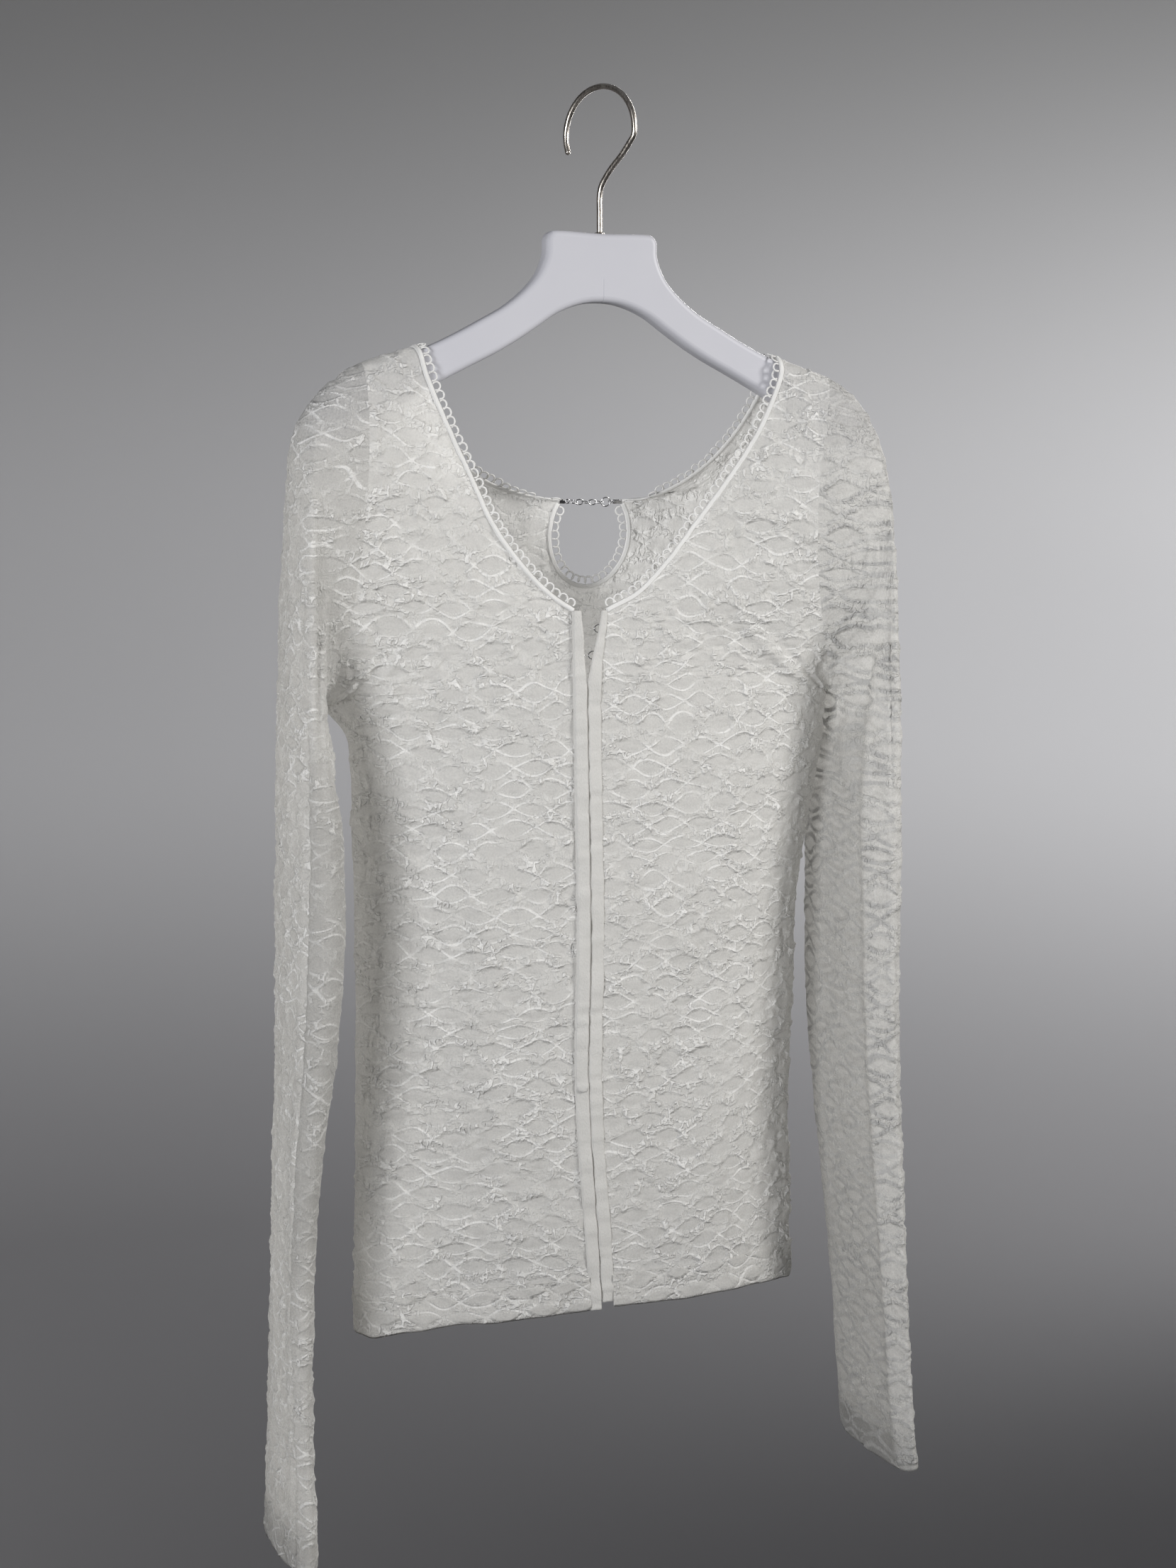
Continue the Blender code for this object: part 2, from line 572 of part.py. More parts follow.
def build_chain():
    w = CHAIN_WIRE
    kinds = (["ear"] + ["ring"] + ["link"] * 4 + ["ring"] + ["ear"])
    reach = {"ear": EAR_IN, "ring": RING_IN, "link": LINK_IN}
    xs = [0.0]
    for a, b in zip(kinds, kinds[1:]):
        xs.append(xs[-1] + reach[a] + reach[b] - CHAIN_GAP)
    mid = (xs[0] + xs[-1]) / 2
    xs = [x - mid + KEY_X for x in xs]
    names = ("chain_clamp_right", "chain_ring_right", "chain_link_1", "chain_link_2",
             "chain_link_3", "chain_link_4", "chain_ring_left", "chain_clamp_left")
    half = (xs[-1] - xs[0]) / 2
    for i, (x, kind, name) in enumerate(zip(xs, kinds, names)):
        sag = .0004 * (1 - ((x - KEY_X) / half)**2)
        z = CHAIN_Z - sag
        tilt = math.radians(20 if i % 2 == 0 else 110)
        r = reach[kind] + w / 2
        if kind == "link":
            pts = oval((x, CHAIN_Y, z), r, LINK_IN_WIDTH + w / 2, tilt, 12)
        elif kind == "ring":
            pts = oval((x, CHAIN_Y, z), r, r, tilt, 14)
        else:
            pts = oval((x, CHAIN_Y, z), r, r, tilt, 10)
        mesh = tube(name, pts, w, "chain", closed=True, sides=1)
        if kind != "ear":
            add(name, mesh, "chain", 50)
            continue
        # crimped end piece joined to its ear
        out = -1 if i == 0 else 1
        length = .0044 if i == 0 else .0062
        bm = bmesh.new()
        bmesh.ops.create_cube(bm, size=1)
        bmesh.ops.scale(bm, vec=(length, .0016, .0026), verts=bm.verts)
        bmesh.ops.bevel(bm, geom=bm.edges[:], offset=.0003, segments=1, affect="EDGES")
        bmesh.ops.rotate(bm, cent=(0, 0, 0), matrix=Matrix.Rotation(math.radians(20), 3, "X"), verts=bm.verts)
        bmesh.ops.translate(bm, vec=(x + out * (EAR_IN + w * .6 + length / 2), CHAIN_Y, z), verts=bm.verts)
        body = bpy.data.meshes.new(name)
        bm.to_mesh(body)
        bm.free()
        obj = add(name, body, "chain", 50)
        ear = bpy.data.objects.new(name + "_ear_cutter", mesh)
        bpy.context.scene.collection.objects.link(ear)
        ear.hide_render = True
        ear.display_type = "WIRE"
        mod = obj.modifiers.new("ear", "BOOLEAN")
        mod.operation = "UNION"
        mod.object = ear
        mod.solver = "EXACT"


def build_closures(bands):
    """The two hooks and the two eyes that show in the open V."""
    for name, side, z in (("hook_upper", -1, -.3195), ("hook_lower", -1, -.3345),
                          ("eye_upper", 1, -.3185), ("eye_lower", 1, -.3345)):
        edge = smooth(BAND_TOP, z)[0, 1 if side < 0 else 2]
        y = smooth(DEPTH, z)[0, 0] + .0016
        if side < 0:
            pts = [Vector((edge - .0030, y, z)), Vector((edge - .0005, y, z)),
                   Vector((edge + .0008, y + .0002, z)), Vector((edge + .0014, y + .0008, z)),
                   Vector((edge + .0010, y + .0016, z)), Vector((edge - .0006, y + .0018, z))]
        else:
            pts = []
            for i in range(9):
                a = math.radians(-80 + 160 * i / 8)
                pts.append(Vector((edge + .0012 - .0034 * math.cos(a), y,
                                   z + .0024 * math.sin(a))))
            pts = [pts[0] + Vector((.0018, 0, 0))] + pts + [pts[-1] + Vector((.0018, 0, 0))]
        add(name, tube(name, pts, .0007, "chain", sides=1), "chain", 50)


def build_label():
    """Plain tab hanging inside from the right side seam."""
    rows, grid = 4, []
    for r in range(rows):
        z = LABEL_Z - LABEL_SIZE[1] * r / (rows - 1)
        seam = smooth(BODY, z)[0]
        start = np.array([seam[0] + .0026, seam[3], z])
        grid.append([start + np.array([LABEL_WAY[0], LABEL_WAY[1], 0]) * LABEL_SIZE[0] * c / 3
                     + np.array([0, .0012 * math.sin(math.pi * c / 3), 0]) for c in range(4)])
    grid = np.array(grid)
    wall("care_label", grid.reshape(-1, 3), grid_quads(rows, 4), "label", .0008)


# ---------------------------------------------------------------- hanger
def build_hanger():
    half = list(HANGER_TOP) + list(HANGER_TIP) + list(HANGER_UNDER)
    outline = ([(x, z) for x, z in half] + [(0, HANGER_ARCH_Z)]
               + [(-x, z) for x, z in reversed(half)] + [(0, HANGER_TOP[0][1])])
    pts = np.array(outline)
    nxt, prv = np.roll(pts, -1, axis=0), np.roll(pts, 1, axis=0)
    tangent = unit(unit(nxt - pts) + unit(pts - prv))
    normal = np.column_stack([tangent[:, 1], -tangent[:, 0]])      # into the outline
    levels = []
    for a in (90, 55, 20, 0):
        levels.append((1 - math.cos(math.radians(90 - a)) if a else 0, math.sin(math.radians(a))))
    prof = []
    for a in (90, 60, 30, 0):
        r = math.radians(a)
        prof.append((HANGER_ROUND * (1 - math.cos(r)), HANGER_ROUND * math.sin(r)))
    wide = smooth(((0, 0), (.12, 0), (.17, 1), (.19, 1)), np.abs(pts[:, 0]))[:, 0]
    half_y = HANGER_HALF + (HANGER_TIP_HALF - HANGER_HALF) * np.clip(wide, 0, 1)
    rings = []
    for inset, out in prof:                     # front face to the middle
        rings.append((inset, -(half_y - HANGER_ROUND + out)))
    for inset, out in reversed(prof):
        rings.append((inset, half_y - HANGER_ROUND + out))
    bm = bmesh.new()
    loops = []
    for inset, y in rings:
        p = pts + normal * inset
        loops.append([bm.verts.new((p[i, 0], y[i], p[i, 1])) for i in range(len(pts))])
    n = len(pts)
    for a, b in zip(loops, loops[1:]):
        for i in range(n):
            bm.faces.new((a[i], a[(i + 1) % n], b[(i + 1) % n], b[i]))
    bm.faces.new(loops[0][::-1])
    bm.faces.new(loops[-1])
    bmesh.ops.triangulate(bm, faces=[f for f in bm.faces if len(f.verts) > 4])
    bmesh.ops.recalc_face_normals(bm, faces=bm.faces)
    mesh = bpy.data.meshes.new("hanger")
    bm.to_mesh(mesh)
    bm.free()
    hanger = add("hanger", mesh, "hanger", 35)

    cut = bmesh.new()
    bmesh.ops.create_cone(cut, cap_ends=True, segments=12, radius1=HOOK_BORE / 2,
                          radius2=HOOK_BORE / 2, depth=.040,
                          matrix=Matrix.Translation((0, 0, -.0825)))
    cmesh = bpy.data.meshes.new("stem_bore_cutter")
    cut.to_mesh(cmesh)
    cut.free()
    cutter = bpy.data.objects.new("stem_bore_cutter", cmesh)
    bpy.context.scene.collection.objects.link(cutter)
    cutter.hide_render = True
    cutter.display_type = "WIRE"
    mod = hanger.modifiers.new("stem_bore", "BOOLEAN")
    mod.operation = "DIFFERENCE"
    mod.object = cutter
    mod.solver = "EXACT"


def build_hook():
    line = list(HOOK_STEM)
    centre = -HOOK_RADIUS + HOOK_WIRE / 2
    for i in range(17):
        a = math.radians(-8 + 208 * i / 16)
        line.append((HOOK_RADIUS * math.cos(a), centre + HOOK_RADIUS * math.sin(a)))
    pts = along(line, np.linspace(0, 1, 40))
    e = (math.cos(HOOK_TURN), -math.sin(HOOK_TURN))
    points = [(p[0] * e[0], p[0] * e[1], p[1]) for p in pts]
    add("hanger_hook", tube("hanger_hook", points, HOOK_WIRE, "hook", sides=3), "hook", 50)


def main():
    for obj in list(bpy.data.objects):
        bpy.data.objects.remove(obj)
    front = {-1: build_front("front_right", -1), 1: build_front("front_left", 1)}
    back, shared = build_back()
    build_sleeve("sleeve_right", -1)
    build_sleeve("sleeve_left", 1)
    bands = {-1: build_placket("placket_right", -1), 1: build_placket("placket_left", 1)}
    build_trims(front, back, shared)
    build_chain()
    build_closures(bands)
    build_label()
    build_hanger()
    build_hook()


main()
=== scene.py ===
"""Looks of the long-sleeved lace top on its hanger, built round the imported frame.

Metres, +Z up, origin at the inside top of the hanger's hook.  The tables and
the functions under "forms" are those of the CAD source, worked out here on
finer grids; the lace's pattern, puckers, hems, loops and wires are added.
"""
import math

import bmesh
import bpy
import numpy as np
from mathutils import Matrix, Vector
from mathutils.geometry import tessellate_polygon


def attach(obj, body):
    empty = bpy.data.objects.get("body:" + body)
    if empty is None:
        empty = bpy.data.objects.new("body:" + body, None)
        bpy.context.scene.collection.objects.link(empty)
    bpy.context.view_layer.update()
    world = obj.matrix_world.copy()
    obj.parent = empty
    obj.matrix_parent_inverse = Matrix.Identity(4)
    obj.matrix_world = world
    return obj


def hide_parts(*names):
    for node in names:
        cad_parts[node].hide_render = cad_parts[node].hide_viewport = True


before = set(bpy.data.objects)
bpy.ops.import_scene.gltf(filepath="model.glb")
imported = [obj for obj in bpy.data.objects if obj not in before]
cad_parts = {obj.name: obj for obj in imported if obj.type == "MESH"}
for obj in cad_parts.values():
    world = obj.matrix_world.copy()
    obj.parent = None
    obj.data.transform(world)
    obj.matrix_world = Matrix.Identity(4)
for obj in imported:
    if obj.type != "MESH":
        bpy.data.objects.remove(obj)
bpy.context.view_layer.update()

# ---------------------------------------------------------------- sizes
NECK_TOP = -.153
HEM_Z = -0.741
ARMPIT_Z = -0.365
V_THETA = 1.94
V_Z = -0.3075
KEY_X, KEY_Z = 0.0061, -0.2620
KEY_HALF, KEY_DROP = 0.0266, 0.0325
KEY_END = 2.243
KEY_FOOT, KEY_HEAD = 2.12, 1.22
HANGER_HALF = 0.0066
HANGER_TIP_HALF = 0.0078
HANGER_ROUND = 0.0036
HOOK_WIRE = 0.0034
HOOK_TURN = math.radians(62)
HOOK_RADIUS = 0.0265
LABEL_SIZE = (0.0220, 0.0480)
LABEL_Z = -0.6250
LABEL_WAY = (.75, -.66)
CHAIN_WIRE = 0.0007
RING_IN, LINK_IN, EAR_IN = 0.0026, 0.0023, 0.0010
LINK_IN_WIDTH = 0.0013
CHAIN_GAP = 0.0003
CHAIN_X, CHAIN_Y, CHAIN_Z = 0.0053, 0.0300, -0.2420

STEP = 0.00152           # spacing of the cloth grids
HEM = 0.0220             # turned hems
HEM_GAP = 0.0011
BODY_LACE = (.0250, .0122)     # lens pitch and row spacing, body
SLEEVE_LACE = (.0205, .0125)
SLEEVE_LACE_WIDE = (.0290, .0135)
LOOP_PITCH = 0.0056
LOOP_REACH = 0.0066
BINDING = 0.0028
TAB_Z = -.602            # lower end of the fastening band's upper layer

# ---------------------------------------------------------------- tables
# z       x right  x left  y front  y side  y back
BODY = (
    (-.741, -.1500, .1475, -.0150, .0300, .0700),
    (-.700, -.1495, .1470, -.0150, .0310, .0730),
    (-.640, -.1480, .1455, -.0155, .0320, .0760),
    (-.560, -.1468, .1475, -.0160, .0320, .0770),
    (-.490, -.1470, .1510, -.0160, .0320, .0740),
    (-.440, -.1478, .1590, -.0150, .0315, .0700),
    (-.400, -.1490, .1655, -.0140, .0310, .0650),
    (-.380, -.1525, .1675, -.0130, .0305, .0620),
    (-.365, -.1655, .1700, -.0125, .0300, .0590))
# z        right panel  slit    left panel
FRONT_EDGE = (
    (-.741, -.0110, -.0040, .0040),
    (-.690, -.0150, -.0070, .0010),
    (-.640, -.0192, -.0112, -.0032),
    (-.600, -.0216, -.0132, -.0052),
    (-.510, -.0206, -.0120, -.0040),
    (-.414, -.0212, -.0128, -.0048),
    (-.350, -.0212, -.0128, -.0048))
# z, outer right, inner right, inner left, outer left
BAND_TOP = (
    (-.3505, -.0212, -.0131, -.0125, -.0048),
    (-.3380, -.0213, -.0140, -.0098, -.0035),
    (-.3250, -.0213, -.0150, -.0065, -.0018),
    (-.3160, -.0213, -.0158, -.0044, -.0006),
    (-.3075, -.0213, -.0165, -.0028, .0004))
NECK_RIGHT = ((-.1170, -.1530), (-.1140, -.1660), (-.1085, -.1800),
              (-.0993, -.2004), (-.0860, -.2279), (-.0718, -.2568),
              (-.0525, -.2823), (-.0310, -.3018), (-.0213, -.3075))
NECK_LEFT = ((.1170, -.1530), (.1165, -.1640), (.1110, -.1800),
             (.1025, -.1977), (.0825, -.2271), (.0625, -.2519),
             (.0405, -.2787), (.0192, -.2986), (.0004, -.3075))
BACK_NECK_RIGHT = ((-.1170, -.1530), (-.1140, -.1690), (-.1055, -.1880),
                   (-.0890, -.2110), (-.0655, -.2295), (-.0370, -.2385),
                   (-.0147, -.2417))
BACK_NECK_LEFT = ((.1170, -.1530), (.1155, -.1680), (.1090, -.1830),
                  (.0950, -.2050), (.0690, -.2285), (.0480, -.2385),
                  (.0269, -.2417))
# angle, front, back
NECK_SHARE = ((0, 0, 0), (.13, .006, .008), (.25, .018, .024), (.38, .040, .055),
              (.52, .080, .115), (.68, .140, .220), (.86, .220, .400),
              (1.04, .320, .680), (1.22, .430, 1.0), (1.40, .555, 1.0),
              (1.58, .690, 1.0), (1.76, .840, 1.0), (1.94, 1.0, 1.0))
# z       front    back
DEPTH = (
    (-.365, -.0125, .0590), (-.330, -.0115, .0490), (-.300, -.0108, .0400),
    (-.262, -.0104, .0318), (-.242, -.0104, .0298), (-.210, -.0104, .0215),
    (-.180, -.0106, .0140), (-.165, -.0107, .0114), (-.150, -.0106, .0106))
#  outer x   outer z  inner x  inner z  y out   y in   front  back   bow    twist
SLEEVE_RIGHT = (
    (.1490, -.1632, .1655, -.3650, .0000, .0300, .0320, .0300, .0045, 0),
    (.1600, -.1684, .1682, -.3656, .0000, .0295, .0325, .0305, .0030, 0),
    (.1715, -.1777, .1700, -.3672, .0000, .0285, .0330, .0310, .0015, 0),
    (.1808, -.1890, .1705, -.3700, .0000, .0275, .0340, .0300, .0000, 0),
    (.1872, -.2030, .1700, -.3740, .0000, .0260, .0350, .0320, .0000, 0),
    (.1905, -.2250, .1690, -.3800, .0005, .0240, .0365, .0350, .0000, 0),
    (.1925, -.2580, .1680, -.3890, .0010, .0220, .0385, .0385, .0000, 0),
    (.1945, -.3050, .1672, -.4020, .0020, .0200, .0410, .0420, .0000, 0),
    (.1960, -.3600, .1665, -.4220, .0030, .0180, .0440, .0455, .0000, 0),
    (.1975, -.4200, .1660, -.4550, .0040, .0150, .0470, .0485, .0000, 0),
    (.1992, -.4900, .1672, -.5050, .0050, .0100, .0485, .0490, .0000, -.02),
    (.2010, -.5600, .1745, -.5660, .0050, .0070, .0485, .0485, .0000, -.05),
    (.2035, -.6300, .1855, -.6325, .0050, .0050, .0480, .0480, .0000, -.08),
    (.2055, -.7000, .1915, -.7010, .0050, .0050, .0475, .0475, .0000, -.08),
    (.2070, -.7700, .1925, -.7700, .0050, .0050, .0465, .0465, .0000, -.05),
    (.2090, -.8440, .1910, -.8440, .0050, .0050, .0455, .0455, .0000, 0),
    (.2115, -.8680, .1895, -.8680, .0050, .0050, .0450, .0450, .0000, 0))
SLEEVE_LEFT = (
    (.1520, -.1642, .1700, -.3650, .0000, .0300, .0320, .0300, .0215, 0),
    (.1620, -.1694, .1738, -.3651, .0000, .0295, .0325, .0305, .0150, 0),
    (.1725, -.1782, .1763, -.3662, .0000, .0285, .0330, .0310, .0090, 0),
    (.1812, -.1895, .1772, -.3688, .0000, .0275, .0340, .0300, .0040, 0),
    (.1875, -.2035, .1771, -.3732, .0000, .0260, .0350, .0320, .0010, 0),
    (.1908, -.2250, .1762, -.3798, .0005, .0240, .0365, .0350, .0000, 0),
    (.1930, -.2580, .1742, -.3890, .0010, .0230, .0385, .0410, .0000, 0),
    (.1948, -.3050, .1722, -.4020, .0020, .0215, .0410, .0470, .0000, 0),
    (.1955, -.3600, .1710, -.4220, .0030, .0200, .0440, .0530, .0000, 0),
    (.1955, -.4200, .1702, -.4550, .0040, .0175, .0470, .0575, .0000, 0),
    (.1955, -.4900, .1700, -.5050, .0050, .0145, .0490, .0590, .0000, 0),
    (.1960, -.5600, .1702, -.5660, .0050, .0115, .0500, .0585, .0000, 0),
    (.1985, -.6300, .1745, -.6325, .0050, .0090, .0500, .0570, .0000, 0),
    (.2020, -.7000, .1810, -.7010, .0050, .0070, .0495, .0540, .0000, 0),
    (.2060, -.7700, .1870, -.7700, .0050, .0060, .0490, .0500, .0000, 0),
    (.2125, -.8440, .1915, -.8440, .0050, .0050, .0490, .0500, .0000, 0),
    (.2160, -.8680, .1930, -.8680, .0050, .0050, .0490, .0500, .0000, 0))
# side, s, v, half widths in s and v, height: the CAD's folds
FOLDS = (
    ("front_right", .78, .00, .24, .22, .0130),
    ("front_right", .46, .16, .16, .30, -.0035),
    ("front_right", .60, 1.05, .10, .16, .0030),
    ("front_left", .30, .10, .16, .35, .0035),
    ("front_left", .66, .25, .14, .30, -.0030),
    ("front_left", .72, 1.10, .10, .14, .0035),
    ("back_right", .55, .25, .16, .35, .0060),
    ("back_right", .85, .60, .12, .25, -.0030),
    ("back_left", .45, .30, .16, .35, .0050),
    ("back_left", .80, .55, .12, .25, -.0035))
# smaller drapes, only here: side, s, v, slant of s with v, half width in s,
# half length in v, height
DRAPES = (
    ("front_right", .88, 1.06, -.55, .035, .10, .0026),
    ("front_right", .78, 1.12, -.60, .035, .12, -.0020),
    ("front_right", .66, 1.20, -.50, .040, .14, .0018),
    ("front_right", .93, .62, .12, .030, .20, -.0016),
    ("front_right", .30, .55, .10, .050, .25, .0012),
    ("front_left", .86, 1.05, -.50, .035, .10, .0026),
    ("front_left", .75, 1.14, -.55, .035, .12, -.0022),
    ("front_left", .60, 1.22, -.45, .040, .14, .0016),
    ("front_left", .90, .55, .14, .035, .20, -.0018),
    ("front_left", .35, .60, .08, .050, .25, .0012),
    ("back_right", .85, 1.05, -.50, .035, .12, .0026),
    ("back_right", .30, .80, .10, .060, .25, -.0016),
    ("back_right", .20, .20, .05, .060, .25, .0020),
    ("back_left", .85, 1.06, -.50, .035, .12, .0024),
    ("back_left", .35, .75, .10, .060, .25, -.0018),
    ("back_left", .68, .15, .04, .060, .20, .0022))

HANGER_TOP = ((.0325, -.0841), (.0345, -.0860), (.0358, -.0970),
              (.0413, -.1096), (.0495, -.1187), (.0615, -.1282),
              (.0770, -.1370), (.0935, -.1458), (.1120, -.1543),
              (.1300, -.1604), (.1450, -.1660), (.1580, -.1722),
              (.1690, -.1800), (.1770, -.1888), (.1815, -.1980))
HANGER_TIP = ((.1828, -.2060), (.1815, -.2118), (.1765, -.2142))
HANGER_UNDER = ((.1680, -.2120), (.1580, -.2060), (.1420, -.1962),
                (.1220, -.1850), (.1036, -.1745), (.0826, -.1637),
                (.0668, -.1558), (.0541, -.1485), (.0413, -.1402),
                (.0290, -.1320), (.0195, -.1278), (.0100, -.1252))
HANGER_ARCH_Z = -.1244
HOOK_STEM = ((0, -.1000), (0, -.0840), (0, -.0700), (0, -.0620),
             (.0012, -.0565), (.0050, -.0510), (.0105, -.0452),
             (.0165, -.0400), (.0222, -.0338))


# ---------------------------------------------------------------- forms
def smooth(rows, key):
    """Cubic through a table's rows, whose first column is the key."""
    tab = np.array(rows, float)
    if tab[0, 0] > tab[-1, 0]:
        tab = tab[::-1]
    x, y = tab[:, 0], tab[:, 1:]
    h = np.diff(x)[:, None]
    d = np.diff(y, axis=0) / h
    m = np.vstack([d[:1], (d[:-1] * h[1:] + d[1:] * h[:-1]) / (h[1:] + h[:-1]), d[-1:]])
    k = np.clip(np.atleast_1d(key).astype(float), x[0], x[-1])
    i = np.clip(np.searchsorted(x, k) - 1, 0, len(x) - 2)
    t = ((k - x[i]) / (x[i + 1] - x[i]))[:, None]
    hh = (x[i + 1] - x[i])[:, None]
    return ((2 * t**3 - 3 * t**2 + 1) * y[i] + (t**3 - 2 * t**2 + t) * hh * m[i]
            + (3 * t**2 - 2 * t**3) * y[i + 1] + (t**3 - t**2) * hh * m[i + 1])


def along(points, share):
    """Point at a share of the length of a curve through points."""
    pts = np.array(points, float)
    run = np.concatenate([[0], np.cumsum(np.linalg.norm(np.diff(pts, axis=0), axis=1))])
    return smooth(np.column_stack([run / run[-1], pts]), share)


def unit(v):
    return v / np.maximum(np.linalg.norm(v, axis=-1, keepdims=True), 1e-12)


def over_arm(drop):
    """0 on the shoulder seam, 1 once the cloth hangs down the arm's face."""
    q = np.clip(np.asarray(drop) / 0.009, 0, 1)
    return np.sqrt(np.maximum(0, 1 - (1 - q)**2))


def step_up(x, low, high):
    t = np.clip((x - low) / (high - low), 0, 1)
    return t * t * (3 - 2 * t)


def ring_grid(side, ks, phis):
    """Sleeve points for sections ks and angles phis, from the outer point (0)
    round the front (positive) and the back (negative) to the inner (pi)."""
    rows = SLEEVE_RIGHT if side < 0 else SLEEVE_LEFT
    r = smooth([(i,) + row for i, row in enumerate(rows)], ks)
    ox, oz, ix, iz, yo, yi, df, db, bow, twist = [c[:, None] for c in r.T]
    c = ((1 - np.cos(phis)) / 2)[None]
    s = np.sin(phis)[None]
    reach = np.where(s >= 0, -df * s, -db * s)
    x = ox + (ix - ox) * c - bow * s**2 + twist * reach
    return np.stack([side * x, yo + (yi - yo) * c + reach,
                     oz + (iz - oz) * c + 0 * s], axis=-1)


def middle_z(v):
    return (HEM_Z + (ARMPIT_Z - HEM_Z) * v) + 0.019 * max(0, (v - .5) / .5)**3


def outer_edge(side, v, back):
    z = HEM_Z + (ARMPIT_Z - HEM_Z) * min(v, 1)
    if v <= 1:
        row = smooth(BODY, z)[0]
        return np.array([row[0] if side < 0 else row[1], row[3], z])
    angle = math.pi * (2 - v)
    return ring_grid(side, np.array([0.]), np.array([-angle if back else angle]))[0, 0]


def front_inner(side, v):
    theta = math.pi * (2 - v)
    top = NECK_TOP
    if v > 1 and theta < V_THETA:
        share = smooth([(a, f) for a, f, b in NECK_SHARE], theta)[0, 0]
        x, z = along(NECK_RIGHT if side < 0 else NECK_LEFT, share)[0]
    else:
        z = (middle_z(v) if v <= 1 else
             V_Z - (.0385 * (theta - V_THETA) / (math.pi - V_THETA)))
        if z < -.3505:
            x = smooth(FRONT_EDGE, z)[0, 0 if side < 0 else 2]
        else:
            x = smooth(BAND_TOP, z)[0, 0 if side < 0 else 3]
    y = smooth(DEPTH, z)[0, 0] if z > ARMPIT_Z else smooth(BODY, z)[0, 2]
    return np.array([x, y * over_arm(top - z), z])


def back_inner(side, v):
    theta = math.pi * (2 - v)
    if v > 1 and theta < KEY_HEAD:
        share = smooth([(a, b) for a, f, b in NECK_SHARE], theta)[0, 0]
        x, z = along(BACK_NECK_RIGHT if side < 0 else BACK_NECK_LEFT, share)[0]
    elif v > 1 and theta < KEY_FOOT:
        a = KEY_END * (KEY_FOOT - theta) / (KEY_FOOT - KEY_HEAD)
        x = KEY_X + side * KEY_HALF * math.sin(a)
        z = KEY_Z - KEY_DROP * math.cos(a)
    else:
        x = KEY_X if v > 1 else KEY_X * v
        z = (middle_z(v) if v <= 1 else
             KEY_Z - KEY_DROP - .0515 * (theta - KEY_FOOT) / (math.pi - KEY_FOOT))
    y = smooth(DEPTH, z)[0, 1] if z > ARMPIT_Z else smooth(BODY, z)[0, 4]
    return np.array([x, y * over_arm(NECK_TOP - z), z])


def panel_rows(piece, side, vs, ss):
    """Half panel's points: rows vs from the hem (0) past the armpit (1) to the
    shoulder seam (2), columns ss from the middle (0) to the side (1)."""
    back = piece == "back"
    inner = back_inner if back else front_inner
    a = np.array([inner(side, v) for v in vs])
    b = np.array([outer_edge(side, v, back) for v in vs])
    r = np.where(vs <= 1, 1., np.maximum(0, 1 - (vs - 1) / .62)**1.3)[:, None]
    s = np.asarray(ss)[None]
    fx = (1 - r) * s + r * np.sin(math.pi * s / 2)
    fy = (1 - r) * s + r * (1 - np.cos(math.pi * s / 2))
    p = np.stack([a[:, :1] + (b - a)[:, :1] * fx, a[:, 1:2] + (b - a)[:, 1:2] * fy,
                  a[:, 2:] + (b - a)[:, 2:] * s], axis=-1)
    name = piece + ("_right" if side < 0 else "_left")
    edge = np.minimum(1, s / .12) * np.minimum(1, (1 - s) / .15)
    out = 1 if back else -1
    v = vs[:, None]
    p[..., 2] -= .0105 * s**2 * np.clip(1 - v / .30, 0, 1)**2
    for who, s0, v0, ws, wv, high in FOLDS:
        if who == name:
            p[..., 1] += out * high * np.exp(-((s - s0) / ws)**2 - ((v - v0) / wv)**2) * edge
    for who, s0, v0, lean, ws, wv, high in DRAPES:
        if who == name:
            d = (s - s0 - lean * (v - v0)) / ws
            p[..., 1] += out * high * np.exp(-d**2 - ((v - v0) / wv)**2) * edge
    return p


# ---------------------------------------------------------------- noise
def lattice(ix, iy, seed):
    n = (ix.astype(np.int64) * 374761393 + iy.astype(np.int64) * 668265263
         + seed * 974634777) & 0xffffffff
    n = ((n ^ (n >> 13)) * 1274126177) & 0xffffffff
    n = ((n ^ (n >> 15)) * 1103515245 + 12345) & 0xffffffff
    return ((n >> 8) & 0xffff) / 32767.5 - 1


def noise(x, y, seed):
    """Smooth noise from -1 to 1."""
    ix, iy = np.floor(x), np.floor(y)
    fx, fy = x - ix, y - iy
    fx = fx**3 * (fx * (fx * 6 - 15) + 10)
    fy = fy**3 * (fy * (fy * 6 - 15) + 10)
    a, b = lattice(ix, iy, seed), lattice(ix + 1, iy, seed)
    c, d = lattice(ix, iy + 1, seed), lattice(ix + 1, iy + 1, seed)
    return (a + (b - a) * fx) * (1 - fy) + (c + (d - c) * fx) * fy


# ---------------------------------------------------------------- lace relief
def lace_lines(a, b):
    """Distance to the nearest cord and depth inside a lens, in row spacings,
    for pattern coordinates a (lens pitches) and b (row spacings)."""
    best, inside = None, None
    for shift in (0, 1):
        x = a + .5 * shift
        x = x - np.round(x)
        y = (b - shift) / 2
        y = np.abs(y - np.round(y)) * 2
        f = .43 * np.maximum(np.cos(math.pi * x), 0)**1.1
        d = np.abs(y - f) * (1 - .22 * np.sin(math.pi * np.abs(x)))
        best = d if best is None else np.minimum(best, d)
        inside = f - y if inside is None else np.maximum(inside, f - y)
    return best, inside


